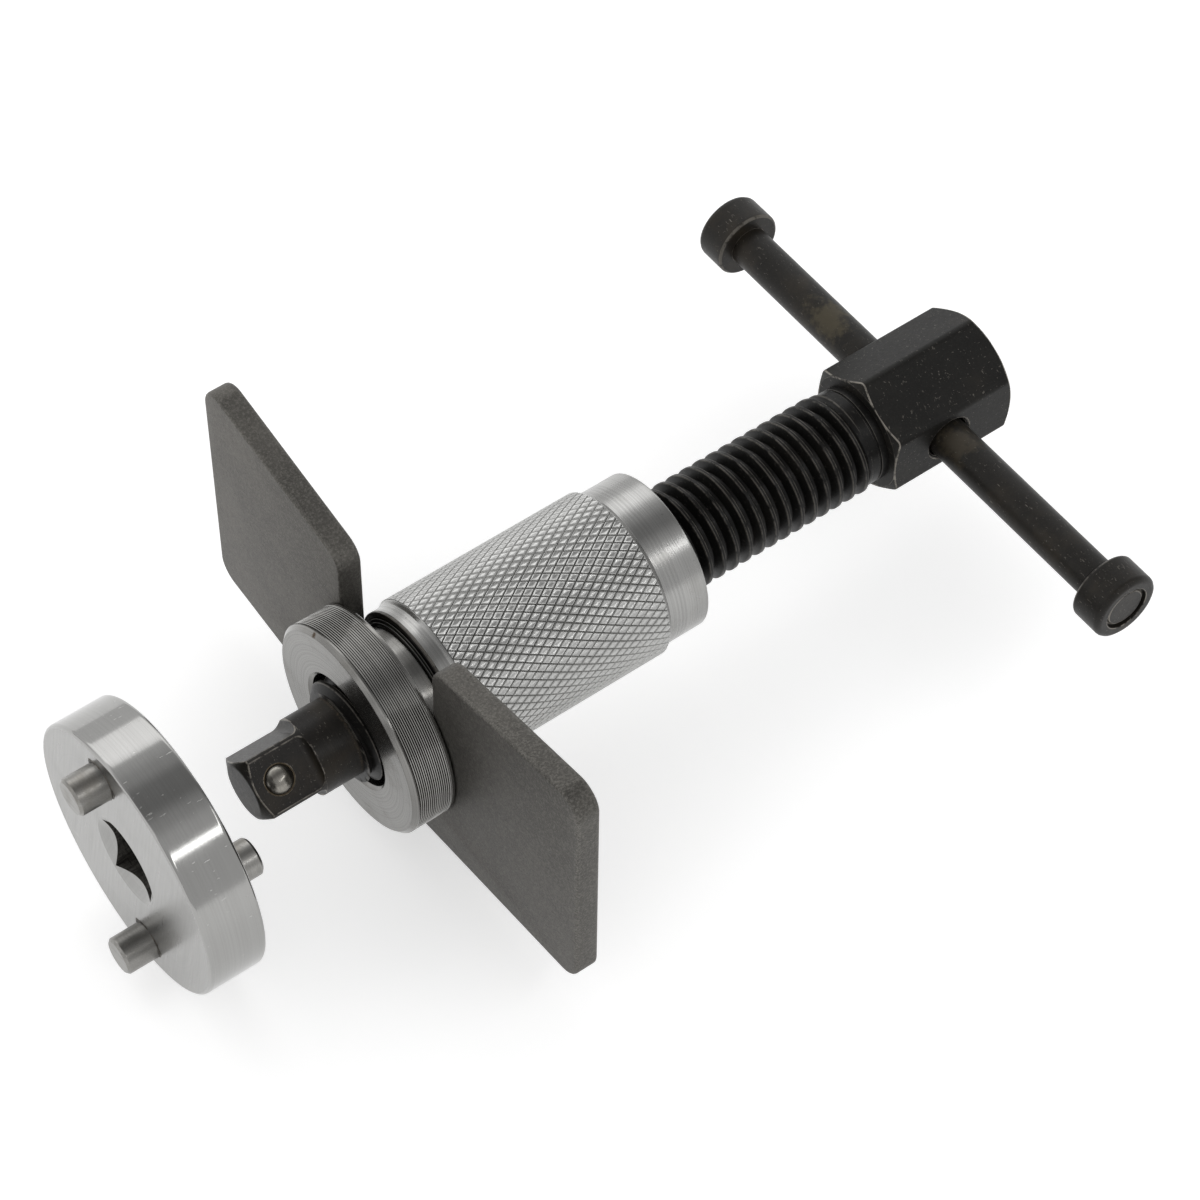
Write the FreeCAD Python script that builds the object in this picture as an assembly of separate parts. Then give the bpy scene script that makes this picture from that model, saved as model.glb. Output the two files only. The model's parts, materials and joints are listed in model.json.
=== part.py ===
# Brake caliper piston tool: a forcing screw with a square drive, carried in a knurled grip sleeve,
# with a swivelling collar for the slotted reaction plate, a sliding T-bar, and a pinned piston adaptor.
# Millimetres. X runs along the screw from the tip of the square drive to the head, Z is up,
# and the origin is the centre of the drive's tip.
import FreeCAD, Part
import math
import os

from FreeCAD import Vector

# Square drive, nominal 3/8 inch
drive_across_flats = 9.45
drive_flat_length = 9.0
drive_cutter_radius = 1.2
drive_tip_radius = 4.3
drive_tip_length = 1.0

# Forcing screw
shaft_diameter = 12.7
shoulder_at = 16.6
thread_diameter = 17.0
thread_pitch = 2.5
thread_depth = 1.45
thread_crest_width = 0.5
thread_root_width = 0.5
thread_end_chamfer = 0.8
thread_run = 92.7
thread_fade = 0.9
neck_diameter = 16.0
neck_length = 3.0
neck_groove_width = 0.4
neck_groove_depth = 0.25
running_clearance = 0.06

# Hexagonal head with its cross hole
head_across_flats = 19.0
head_corner_diameter = 21.5
head_length = 23.0
head_chamfer_angle = 30.0
cross_hole_from_head_front = 10.7
cross_hole_clearance = 0.35
cross_hole_chamfer = 0.4

# Detent ball, its pocket and its spring
ball_diameter = 4.76
ball_from_tip = 4.2
ball_below_flat = 0.9
ball_clearance = 0.05
pocket_depth = 7.2
spring_wire = 0.4
spring_turns = 5
spring_wall = 0.2
spring_end_clearance = 0.05

# Collar: grooved ring, hub for the plate, and tail inside the nut
ring_front_at = 17.85
ring_diameter = 34.85
ring_width = 7.2
ring_front_chamfer = 0.7
ring_rear_chamfer = 0.3
collar_mouth_diameter = 18.8
collar_mouth_depth = 8.2
collar_mouth_chamfer = 0.5
collar_screw_clearance = 0.3
hub_diameter = 22.2
tail_diameter = 20.8
tail_length = 11.2
tail_end_chamfer = 0.4

# Slotted reaction plate
plate_thickness = 4.0
plate_half_span = 46.25
plate_slot_clearance = 0.35
plate_side_clearance = 0.15
plate_slot_top = 23.1
plate_tip_top = 30.1
plate_bottom_middle = 21.7
plate_bottom_tip = 15.5
plate_outer_corner_radius = 3.8
plate_slot_corner_radius = 3.6
plate_edge_radius = 0.5
plate_turn = 1.4
plate_sideways = -0.3

# Thrust washer and snap ring
washer_radial_width = 1.84
washer_thickness = 0.4
washer_gap = 0.1
snap_ring_from_hub = 7.8
snap_ring_thickness = 0.8
snap_ring_radial_height = 1.35
snap_ring_opening = 4.0
snap_ring_side_clearance = 0.1
snap_ring_groove_depth = 0.7

# Drive nut, pressed into the grip sleeve
nut_wall_over_snap_ring = 0.99
nut_flange_height = 1.1
nut_flange_width = 0.45
nut_tail_end_gap = 0.6
nut_thread_run = 30.3
nut_end_gap = 0.1

# Knurled grip sleeve
sleeve_nose_wall = 1.1
sleeve_nose_flat = 1.1
sleeve_nose_length = 2.55
sleeve_knurl_wall = 1.7
knurl_length = 33.7
knurl_tail_length = 0.8
sleeve_band_wall = 0.85
band_edge_chamfer = 0.35
sleeve_end_wall = 3.0
sleeve_end_clearance = 0.35

# T-bar and its end caps
bar_diameter = 6.65
bar_sideways = -2.15
bar_length = 97.0
bar_end_chamfer = 0.3
cap_diameter = 11.56
cap_length = 5.8
cap_beyond_bar = 0.3
cap_inner_edge_radius = 0.5
cap_outer_edge_radius = 1.0
cap_recess_diameter = 7.6
cap_recess_depth = 0.8

# Piston adaptor, shown taken off and in line with the drive
adaptor_diameter = 44.3
adaptor_thickness = 9.4
adaptor_gap_to_drive = 10.8
adaptor_edge_radius = 0.6
adaptor_hole_clearance = 0.125
adaptor_countersink_diameter = 14.2
adaptor_pin_diameter = 6.0
adaptor_pin_length = 11.0
adaptor_pin_proud = 5.2
adaptor_pin_shank_diameter = 5.0
adaptor_pin_chamfer = 0.4
front_pin_circle = 33.4
rear_pin_circle = 22.9
front_pin_angle = 79.0

overcut = 1.0

X_AXIS = Vector(1, 0, 0)
Y_AXIS = Vector(0, 1, 0)
CENTRE = Vector(0, 0, 0)

# Stations along the screw
thread_start = shoulder_at + thread_end_chamfer
thread_end = thread_start + thread_run
head_front = thread_end + neck_length
head_rear = head_front + head_length
cross_hole_at = head_front + cross_hole_from_head_front
ring_rear = ring_front_at + ring_width
plate_front = ring_rear + plate_side_clearance
plate_rear = plate_front + plate_thickness
hub_end = plate_rear + plate_side_clearance / 2
washer_front = hub_end + washer_gap
washer_rear = washer_front + washer_thickness
nut_front = washer_rear + washer_gap
sleeve_front = nut_front + nut_flange_width
nut_thread_front = hub_end + tail_length + nut_tail_end_gap
nut_rear = nut_thread_front + nut_thread_run
sleeve_rear = nut_rear + nut_end_gap + sleeve_end_wall
snap_ring_front = hub_end + snap_ring_from_hub
adaptor_rear = -adaptor_gap_to_drive
adaptor_front = adaptor_rear - adaptor_thickness

# Radii that fit each other
thread_radius = thread_diameter / 2
tail_radius = tail_diameter / 2
snap_groove_floor = tail_radius - snap_ring_groove_depth
snap_ring_inner = snap_groove_floor + running_clearance
snap_ring_outer = snap_ring_inner + snap_ring_radial_height
nut_groove_radius = snap_ring_outer + snap_ring_side_clearance
nut_body_radius = nut_groove_radius + nut_wall_over_snap_ring
nut_flange_radius = nut_body_radius + nut_flange_height
sleeve_nose_radius = nut_body_radius + sleeve_nose_wall
knurl_radius = nut_body_radius + sleeve_knurl_wall
band_radius = nut_body_radius + sleeve_band_wall


def turned(profile):
    """A solid of revolution about X from (x, radius) corners of its half section."""
    wire = Part.makePolygon([Vector(x, 0, r) for x, r in profile + profile[:1]])
    return Part.Face(wire).revolve(CENTRE, X_AXIS, 360)


def rod(start, end, radius):
    return Part.makeCylinder(radius, end - start, Vector(start, 0, 0), X_AXIS)


def prism(sides, across_flats, start, end, first_corner):
    """A regular prism along X, with its first corner at an angle from Y towards Z."""
    corner_radius = across_flats / 2 / math.cos(math.pi / sides)
    corners = []
    for i in range(sides + 1):
        angle = math.radians(first_corner) + 2 * math.pi * i / sides
        corners.append(Vector(start, corner_radius * math.cos(angle), corner_radius * math.sin(angle)))
    return Part.Face(Part.makePolygon(corners)).extrude(Vector(end - start, 0, 0))


def rounded_outline(corners):
    """A closed wire in the YZ plane through (y, z, radius) corners, each rounded by a tangent arc."""
    edges = []
    starts = []
    ends = []
    count = len(corners)
    for i, (y, z, radius) in enumerate(corners):
        here = Vector(0, y, z)
        before = Vector(0, *corners[i - 1][:2]) - here
        after = Vector(0, *corners[(i + 1) % count][:2]) - here
        half_angle = before.getAngle(after) / 2
        before.normalize()
        after.normalize()
        setback = radius / math.tan(half_angle)
        starts.append(here + before * setback)
        ends.append(here + after * setback)
        if radius > 0:
            bisector = (before + after).normalize()
            middle = here + bisector * (radius / math.sin(half_angle) - radius)
            edges.append(Part.Arc(starts[i], middle, ends[i]).toShape())
    for i in range(count):
        edges.append(Part.LineSegment(ends[i - 1], starts[i]).toShape())
    return Part.Wire(Part.__sortEdges__(edges))


def make_drive_flats():
    """What the cutter takes off: four flats that run out in a concave sweep into the round shaft."""
    half = drive_across_flats / 2
    top = thread_diameter
    start = -overcut
    low_start = Vector(start, -top / 2, half)
    low_end = Vector(drive_flat_length, -top / 2, half)
    side = math.sqrt(0.5) * drive_cutter_radius
    sweep_middle = low_end + Vector(side, 0, drive_cutter_radius - side)
    sweep_end = low_end + Vector(drive_cutter_radius, 0, drive_cutter_radius)
    high_end = Vector(sweep_end.x, -top / 2, top)
    high_start = Vector(start, -top / 2, top)
    section = Part.Wire([
        Part.LineSegment(low_start, low_end).toShape(),
        Part.Arc(low_end, sweep_middle, sweep_end).toShape(),
        Part.LineSegment(sweep_end, high_end).toShape(),
        Part.LineSegment(high_end, high_start).toShape(),
        Part.LineSegment(high_start, low_start).toShape(),
    ])
    cutter = Part.Face(section).extrude(Vector(0, top, 0))
    cutters = []
    for i in range(4):
        turned_cutter = cutter.copy()
        turned_cutter.rotate(CENTRE, X_AXIS, 45 + 90 * i)
        cutters.append(turned_cutter)
    return cutters


def pocket_axis():
    """The outward normal of the flat that holds the detent ball, which faces up and to the near side."""
    return Vector(0, -math.sqrt(0.5), math.sqrt(0.5))


def ball_centre():
    return Vector(ball_from_tip, 0, 0) + pocket_axis() * (drive_across_flats / 2 - ball_below_flat)


def pocket_floor():
    return Vector(ball_from_tip, 0, 0) + pocket_axis() * (drive_across_flats / 2 - pocket_depth)


def thread_rings():
    """Corners of the screw's thread, drawn as rings one pitch apart from its start to the neck."""
    root_radius = thread_radius - thread_depth
    flank = (thread_pitch - thread_crest_width - thread_root_width) / 2
    corners = []
    for i in range(int((thread_run - thread_fade) / thread_pitch)):
        crest_end = thread_start + i * thread_pitch + thread_crest_width
        root_start = crest_end + flank
        root_end = root_start + thread_root_width
        corners += [
            (crest_end, thread_radius),
            (root_start, root_radius),
            (root_end, root_radius),
            (root_end + flank, thread_radius),
        ]
    return corners


def make_spindle():
    shaft_radius = shaft_diameter / 2
    neck_radius = neck_diameter / 2
    groove_middle = thread_end + neck_length / 2
    groove_start = groove_middle - neck_groove_width / 2
    groove_end = groove_middle + neck_groove_width / 2
    groove_floor = neck_radius - neck_groove_depth
    body = turned([
        (0, 0),
        (0, drive_tip_radius),
        (drive_tip_length, shaft_radius),
        (shoulder_at, shaft_radius),
        (shoulder_at, thread_radius - thread_end_chamfer),
        (thread_start, thread_radius),
        *thread_rings(),
        (thread_end - thread_fade, thread_radius),
        (thread_end, neck_radius),
        (groove_start, neck_radius),
        (groove_start, groove_floor),
        (groove_end, groove_floor),
        (groove_end, neck_radius),
        (head_front, neck_radius),
        (head_front, 0),
    ])
    for cutter in make_drive_flats():
        body = body.cut(cutter)
    body = body.fuse(make_head()).removeSplitter()
    pocket = Part.makeCylinder(
        ball_diameter / 2 + ball_clearance, pocket_depth - ball_below_flat, pocket_floor(), pocket_axis())
    body = body.cut(pocket.fuse(Part.makeSphere(ball_diameter / 2 + ball_clearance, ball_centre())))
    return body


def make_head():
    """The hexagonal head: chamfered ends, broken corners, and the cross hole for the T-bar."""
    corner_radius = head_corner_diameter / 2
    face_radius = head_across_flats / 2
    chamfer = (corner_radius - face_radius) * math.tan(math.radians(head_chamfer_angle))
    blank = turned([
        (head_front, 0),
        (head_front, face_radius),
        (head_front + chamfer, corner_radius),
        (head_rear - chamfer, corner_radius),
        (head_rear, face_radius),
        (head_rear, 0),
    ])
    head = blank.common(prism(6, head_across_flats, head_front, head_rear, 30))
    hole_radius = bar_diameter / 2 + cross_hole_clearance
    reach = head_across_flats / 2 + overcut
    hole = Part.makeCylinder(hole_radius, 2 * reach, Vector(cross_hole_at, -reach, 0), Y_AXIS)
    head = head.cut(hole)
    for side in (-1, 1):
        mouth = Part.makeCone(
            hole_radius + cross_hole_chamfer + overcut,
            hole_radius,
            cross_hole_chamfer + overcut,
            Vector(cross_hole_at, side * reach, 0),
            Vector(0, -side, 0))
        head = head.cut(mouth)
    return head


def make_detent_ball():
    return Part.makeSphere(ball_diameter / 2, ball_centre())


def make_detent_spring():
    """A small spring between the pocket's floor and the ball: a tube with one rib for each coil."""
    room = pocket_depth - ball_below_flat - ball_diameter / 2 - 2 * spring_end_clearance
    pitch = room / spring_turns
    coil_radius = ball_diameter / 2 - spring_wire
    rib = (spring_wire - spring_wall) / 2
    section = []
    for side in (1, -1):
        wall = coil_radius + side * spring_wall / 2
        for i in range(spring_turns):
            start = i * pitch
            section.append(Part.Arc(
                Vector(start, 0, wall),
                Vector(start + pitch / 2, 0, wall + side * rib),
                Vector(start + pitch, 0, wall)).toShape())
    for end in (0, room):
        section.append(Part.LineSegment(
            Vector(end, 0, coil_radius - spring_wall / 2),
            Vector(end, 0, coil_radius + spring_wall / 2)).toShape())
    wire = Part.Wire(Part.__sortEdges__(section))
    coils = Part.Face(wire).revolve(CENTRE, X_AXIS, 360)
    coils.Placement = FreeCAD.Placement(
        pocket_floor() + pocket_axis() * spring_end_clearance,
        FreeCAD.Rotation(X_AXIS, pocket_axis()))
    return coils


def make_collar():
    """Grooved ring, hub for the plate's slot, and the tail that turns inside the nut."""
    ring_radius = ring_diameter / 2
    mouth_radius = collar_mouth_diameter / 2
    bore_radius = thread_radius + collar_screw_clearance
    tail_end = hub_end + tail_length
    groove_start = snap_ring_front - snap_ring_side_clearance
    groove_end = snap_ring_front + snap_ring_thickness + snap_ring_side_clearance
    return turned([
        (ring_front_at, mouth_radius + collar_mouth_chamfer),
        (ring_front_at, ring_radius - ring_front_chamfer),
        (ring_front_at + ring_front_chamfer, ring_radius),
        (ring_rear - ring_rear_chamfer, ring_radius),
        (ring_rear, ring_radius - ring_rear_chamfer),
        (ring_rear, hub_diameter / 2),
        (hub_end, hub_diameter / 2),
        (hub_end, tail_radius),
        (groove_start, tail_radius),
        (groove_start, snap_groove_floor),
        (groove_end, snap_groove_floor),
        (groove_end, tail_radius),
        (tail_end - tail_end_chamfer, tail_radius),
        (tail_end, tail_radius - tail_end_chamfer),
        (tail_end, bore_radius),
        (ring_front_at + collar_mouth_depth, bore_radius),
        (ring_front_at + collar_mouth_depth, mouth_radius),
        (ring_front_at + collar_mouth_chamfer, mouth_radius),
    ])


def make_thrust_washer():
    inner = tail_radius + running_clearance
    outer = inner + washer_radial_width
    return turned([(washer_front, inner), (washer_front, outer), (washer_rear, outer), (washer_rear, inner)])


def make_snap_ring():
    """A split ring in the nut's groove that reaches into the groove of the collar's tail."""
    end = snap_ring_front + snap_ring_thickness
    ring = rod(snap_ring_front, end, snap_ring_outer).cut(rod(snap_ring_front, end, snap_ring_inner))
    opening = Part.makeBox(
        snap_ring_thickness + 2 * overcut,
        snap_ring_opening,
        snap_ring_outer + overcut,
        Vector(snap_ring_front - overcut, -snap_ring_opening / 2, -snap_ring_outer - overcut))
    return ring.cut(opening)


def make_drive_nut():
    """The nut: front flange, counterbore for the collar's tail, snap ring groove and screw bore."""
    tail_bore = tail_radius + running_clearance
    screw_bore = thread_radius + running_clearance
    groove_start = snap_ring_front - snap_ring_side_clearance
    groove_end = snap_ring_front + snap_ring_thickness + snap_ring_side_clearance
    return turned([
        (nut_front, tail_bore),
        (nut_front, nut_flange_radius),
        (sleeve_front, nut_flange_radius),
        (sleeve_front, nut_body_radius),
        (nut_rear, nut_body_radius),
        (nut_rear, screw_bore),
        (nut_thread_front, screw_bore),
        (nut_thread_front, tail_bore),
        (groove_end, tail_bore),
        (groove_end, nut_groove_radius),
        (groove_start, nut_groove_radius),
        (groove_start, tail_bore),
    ])


def make_grip_sleeve():
    """The grip: turned nose, knurled barrel, plain rear band, and an end wall round the screw."""
    end_bore = thread_radius + sleeve_end_clearance
    wall_inside = sleeve_rear - sleeve_end_wall
    knurl_start = sleeve_front + sleeve_nose_length
    knurl_end = knurl_start + knurl_length
    return turned([
        (sleeve_front, nut_body_radius),
        (sleeve_front, sleeve_nose_radius),
        (sleeve_front + sleeve_nose_flat, sleeve_nose_radius),
        (knurl_start, knurl_radius),
        (knurl_end, knurl_radius),
        (knurl_end + knurl_tail_length, band_radius),
        (sleeve_rear - band_edge_chamfer, band_radius),
        (sleeve_rear, band_radius - band_edge_chamfer),
        (sleeve_rear, end_bore + band_edge_chamfer),
        (sleeve_rear - band_edge_chamfer, end_bore),
        (wall_inside, end_bore),
        (wall_inside, nut_body_radius),
    ])


def make_reaction_plate():
    """The butterfly plate: two rising wings, and a slot open at the top that drops over the hub."""
    slot_half = hub_diameter / 2 + plate_slot_clearance
    tip = plate_half_span
    corners = [
        (slot_half, plate_slot_top, plate_slot_corner_radius),
        (tip, plate_tip_top, plate_outer_corner_radius),
        (tip, -plate_bottom_tip, plate_outer_corner_radius),
        (0, -plate_bottom_middle, 0),
        (-tip, -plate_bottom_tip, plate_outer_corner_radius),
        (-tip, plate_tip_top, plate_outer_corner_radius),
        (-slot_half, plate_slot_top, plate_slot_corner_radius),
        (-slot_half, 0, 0),
        (slot_half, 0, 0),
    ]
    blank = Part.Face(rounded_outline(corners)).extrude(Vector(plate_thickness, 0, 0))
    seat = Part.makeCylinder(slot_half, plate_thickness, CENTRE, X_AXIS)
    plate = blank.cut(seat).removeSplitter()
    rim = [e for e in plate.Edges if e.BoundBox.XLength < 1e-6]
    plate = plate.makeFillet(min(plate_edge_radius, plate_thickness / 3), rim)
    plate.rotate(CENTRE, X_AXIS, plate_turn)
    plate.translate(Vector(plate_front, plate_sideways, 0))
    return plate


def bar_ends():
    middle = bar_sideways
    return middle - bar_length / 2, middle + bar_length / 2


def make_t_bar():
    low, high = bar_ends()
    bar = Part.makeCylinder(bar_diameter / 2, high - low, Vector(cross_hole_at, low, 0), Y_AXIS)
    rims = [e for e in bar.Edges if isinstance(e.Curve, Part.Circle)]
    return bar.makeChamfer(bar_end_chamfer, rims)


def make_bar_cap(side):
    """A turned cap on one end of the T-bar: rounded edges and a recess round the bar's end."""
    low, high = bar_ends()
    bar_end = high if side > 0 else low
    outer = cap_diameter / 2
    inner = bar_diameter / 2
    end = cap_beyond_bar
    start = end - cap_length
    corner = math.sqrt(0.5)
    back_middle = cap_inner_edge_radius * (1 - corner)
    front_middle = cap_outer_edge_radius * (1 - corner)
    section = [
        Part.LineSegment(Vector(start, 0, inner), Vector(start, 0, outer - cap_inner_edge_radius)),
        Part.Arc(
            Vector(start, 0, outer - cap_inner_edge_radius),
            Vector(start + back_middle, 0, outer - back_middle),
            Vector(start + cap_inner_edge_radius, 0, outer)),
        Part.LineSegment(Vector(start + cap_inner_edge_radius, 0, outer),
                         Vector(end - cap_outer_edge_radius, 0, outer)),
        Part.Arc(
            Vector(end - cap_outer_edge_radius, 0, outer),
            Vector(end - front_middle, 0, outer - front_middle),
            Vector(end, 0, outer - cap_outer_edge_radius)),
        Part.LineSegment(Vector(end, 0, outer - cap_outer_edge_radius),
                         Vector(end, 0, cap_recess_diameter / 2)),
        Part.LineSegment(Vector(end, 0, cap_recess_diameter / 2),
                         Vector(end - cap_recess_depth, 0, cap_recess_diameter / 2)),
        Part.LineSegment(Vector(end - cap_recess_depth, 0, cap_recess_diameter / 2),
                         Vector(end - cap_recess_depth, 0, inner)),
        Part.LineSegment(Vector(end - cap_recess_depth, 0, inner), Vector(start, 0, inner)),
    ]
    wire = Part.Wire([part.toShape() for part in section])
    cap = Part.Face(wire).revolve(CENTRE, X_AXIS, 360)
    cap.rotate(CENTRE, Vector(0, 0, 1), 90 * side)
    cap.translate(Vector(cross_hole_at, bar_end, 0))
    return cap


def pin_place(circle, angle):
    turn = math.radians(angle)
    return Vector(0, circle / 2 * math.cos(turn), circle / 2 * math.sin(turn))


def adaptor_pins():
    """Name, side and centre of each pin: two on the front face, and two at right angles on the rear."""
    return [
        ("adaptor_pin_front_upper", -1, pin_place(front_pin_circle, front_pin_angle)),
        ("adaptor_pin_front_lower", -1, pin_place(front_pin_circle, front_pin_angle + 180)),
        ("adaptor_pin_rear_left", 1, pin_place(rear_pin_circle, front_pin_angle - 90)),
        ("adaptor_pin_rear_right", 1, pin_place(rear_pin_circle, front_pin_angle + 90)),
    ]


def pin_seat(side, centre):
    """The blind hole in the disc that a pin's shank is pressed into."""
    face = adaptor_front if side < 0 else adaptor_rear
    depth = adaptor_pin_length - adaptor_pin_proud
    mouth = Vector(face + side * overcut, 0, 0) + centre
    return Part.makeCylinder(adaptor_pin_shank_diameter / 2, depth + overcut, mouth, Vector(-side, 0, 0))


def make_adaptor_disc():
    """The adaptor's disc: rounded rim, countersunk square hole, and blind holes for the pressed pins."""
    radius = adaptor_diameter / 2
    disc = Part.makeCylinder(radius, adaptor_thickness, Vector(adaptor_front, 0, 0), X_AXIS)
    rims = [e for e in disc.Edges if isinstance(e.Curve, Part.Circle)]
    disc = disc.makeFillet(adaptor_edge_radius, rims)
    hole_flats = drive_across_flats + 2 * adaptor_hole_clearance
    first_corner = front_pin_angle + 45
    disc = disc.cut(prism(4, hole_flats, adaptor_front - overcut, adaptor_rear + overcut, first_corner))
    mouth_radius = adaptor_countersink_diameter / 2
    sink_depth = mouth_radius - hole_flats / 2
    for face, inwards in ((adaptor_front, 1), (adaptor_rear, -1)):
        sink = Part.makeCone(
            mouth_radius + overcut,
            mouth_radius - sink_depth,
            sink_depth + overcut,
            Vector(face - inwards * overcut, 0, 0),
            Vector(inwards, 0, 0))
        disc = disc.cut(sink)
    for name, side, centre in adaptor_pins():
        disc = disc.cut(pin_seat(side, centre))
    return disc


def make_adaptor_pin(side, centre):
    """A pin with a chamfered tip, standing on the disc's face, and a thinner shank pressed into it."""
    face = Vector(adaptor_front if side < 0 else adaptor_rear, 0, 0) + centre
    inwards = Vector(-side, 0, 0)
    tip = face - inwards * adaptor_pin_proud
    pin = Part.makeCylinder(adaptor_pin_diameter / 2, adaptor_pin_proud, tip, inwards)
    rims = [e for e in pin.Edges if isinstance(e.Curve, Part.Circle)]
    tip_rim = [e for e in rims if e.BoundBox.Center.isEqual(tip, 0.01)]
    pin = pin.makeChamfer(adaptor_pin_chamfer, tip_rim)
    depth = adaptor_pin_length - adaptor_pin_proud
    shank = Part.makeCylinder(adaptor_pin_shank_diameter / 2, depth, face, inwards)
    return pin.fuse(shank)


def make_parts():
    parts = {
        "spindle": make_spindle(),
        "detent_ball": make_detent_ball(),
        "detent_spring": make_detent_spring(),
        "collar": make_collar(),
        "thrust_washer": make_thrust_washer(),
        "snap_ring": make_snap_ring(),
        "drive_nut": make_drive_nut(),
        "grip_sleeve": make_grip_sleeve(),
        "reaction_plate": make_reaction_plate(),
        "t_bar": make_t_bar(),
        "bar_cap_left": make_bar_cap(1),
        "bar_cap_right": make_bar_cap(-1),
        "adaptor_disc": make_adaptor_disc(),
    }
    for name, side, centre in adaptor_pins():
        parts[name] = make_adaptor_pin(side, centre)
    return parts


os.makedirs("parts", exist_ok=True)
for name, shape in make_parts().items():
    shape.exportStep("parts/" + name + ".step")
    box = shape.BoundBox
    print(f"{name:26s} solids {len(shape.Solids)} valid {shape.isValid()} volume {shape.Volume:9.1f}"
          f"  x {box.XMin:7.2f} {box.XMax:7.2f}  y {box.YMin:7.2f} {box.YMax:7.2f}"
          f"  z {box.ZMin:7.2f} {box.ZMax:7.2f}")
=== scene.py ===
"""Brake caliper piston tool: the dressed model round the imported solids, in millimetres until meshed."""
import json
import math

import bmesh
import bpy
import numpy as np
from mathutils import Matrix, Vector

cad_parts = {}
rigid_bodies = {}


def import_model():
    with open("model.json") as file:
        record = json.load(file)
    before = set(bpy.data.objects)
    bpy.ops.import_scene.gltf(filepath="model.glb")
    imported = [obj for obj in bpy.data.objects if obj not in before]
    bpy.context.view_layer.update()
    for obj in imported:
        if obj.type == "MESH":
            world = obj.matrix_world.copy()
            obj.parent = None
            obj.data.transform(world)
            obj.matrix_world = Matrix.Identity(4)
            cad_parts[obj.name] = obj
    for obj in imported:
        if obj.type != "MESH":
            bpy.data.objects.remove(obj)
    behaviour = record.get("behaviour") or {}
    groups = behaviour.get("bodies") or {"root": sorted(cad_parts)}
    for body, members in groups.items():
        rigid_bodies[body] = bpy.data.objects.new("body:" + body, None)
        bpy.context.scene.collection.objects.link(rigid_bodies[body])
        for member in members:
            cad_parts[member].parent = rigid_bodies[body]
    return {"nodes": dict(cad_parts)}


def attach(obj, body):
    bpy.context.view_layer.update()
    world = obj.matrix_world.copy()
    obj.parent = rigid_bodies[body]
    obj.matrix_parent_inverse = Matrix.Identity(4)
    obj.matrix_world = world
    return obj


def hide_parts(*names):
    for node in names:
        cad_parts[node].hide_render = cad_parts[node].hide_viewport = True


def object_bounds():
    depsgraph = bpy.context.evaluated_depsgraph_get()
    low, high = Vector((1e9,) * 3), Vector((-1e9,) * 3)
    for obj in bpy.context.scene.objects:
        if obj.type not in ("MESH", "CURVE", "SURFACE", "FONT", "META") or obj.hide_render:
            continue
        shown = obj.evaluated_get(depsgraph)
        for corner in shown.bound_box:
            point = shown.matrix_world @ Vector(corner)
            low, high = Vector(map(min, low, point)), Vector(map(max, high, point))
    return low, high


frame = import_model()
cad_low, cad_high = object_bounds()

MM = 0.001
TURN = 2 * math.pi

# Stations along the screw, from the tip of the square drive
flat_end = 9.0
shoulder_at = 16.6
thread_end = 110.1
neck_front = 109.9
neck_groove = 111.38
neck_rear = 113.3
head_front = 113.1
head_rear = 136.1
cross_hole_at = 123.8
ring_front = 17.85
ring_rear = 25.05
plate_front = 25.2
hub_end = 29.275
washer_front = 29.375
washer_split = 29.55
washer_rear = 29.775
nut_front = 29.875
sleeve_front = 30.325
nose_end = 31.425
knurl_start = 32.875
snap_groove_front = 36.975
snap_groove_rear = 37.975
tail_end = 40.475
nut_thread_front = 41.075
knurl_end = 66.575
nut_rear = 71.375
sleeve_rear = 74.475
adaptor_rear = -10.8
adaptor_front = -20.2

# Radii, half widths and the thread's pitch
drive_half = 4.725
cutter_radius = 1.2
shaft_radius = 6.35
ball_radius = 2.38
pocket_radius = 2.43
thread_radius = 8.5
thread_root = 7.05
thread_pitch = 2.5
neck_radius = 8.0
hexagon_half = 9.5
head_corner_radius = 10.75
cross_hole_radius = 3.675
cross_hole_mouth = 5.475
bar_radius = 3.325
knob_radius = 5.78
knob_recess_radius = 3.8
ring_radius = 17.425
ring_bore = 9.4
hub_radius = 11.1
tail_radius = 10.4
tail_bore = 8.8
washer_radius = 12.3
nut_bore = 10.46
nut_flange_radius = 13.3
nut_body_radius = 12.2
nut_thread_bore = 8.56
knurl_radius = 13.9
knurl_floor = 13.6
band_radius = 13.05
plate_half_width = 46.25
plate_slot_half = 11.45
plate_thickness = 4.0
adaptor_radius = 22.15
square_hole_half = 4.85
pin_radius = 3.0
pin_reach = 5.2
front_pin_circle = 16.7
rear_pin_circle = 11.45

# Turns about the screw
front_pin_turn = math.radians(79)
plate_turn = math.radians(1.4)


class Wire:
    """An output in a node tree that takes part in sums."""

    def __init__(self, tree, socket):
        self.tree = tree
        self.socket = socket

    def math(self, operation, *others, clamp=False):
        """This wire and others, worked on by a Math node."""
        node = self.tree.nodes.new("ShaderNodeMath")
        node.operation = operation
        node.use_clamp = clamp
        for slot, value in zip(node.inputs, (self,) + others):
            plug(self.tree, value, slot)
        return Wire(self.tree, node.outputs[0])

    def __add__(self, other):
        return self.math("ADD", other)

    def __mul__(self, other):
        return self.math("MULTIPLY", other)

    def __sub__(self, other):
        return self.math("SUBTRACT", other)

    def __rsub__(self, other):
        return (self * -1.0).math("ADD", other)

    def __truediv__(self, other):
        return self.math("DIVIDE", other)

    def fade(self, low, high, start=0.0, end=1.0):
        """Goes smoothly from start at low to end at high."""
        node = self.tree.nodes.new("ShaderNodeMapRange")
        node.interpolation_type = "SMOOTHSTEP"
        for slot, value in zip(node.inputs, (self, low, high, start, end)):
            plug(self.tree, value, slot)
        return Wire(self.tree, node.outputs[0])


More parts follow.
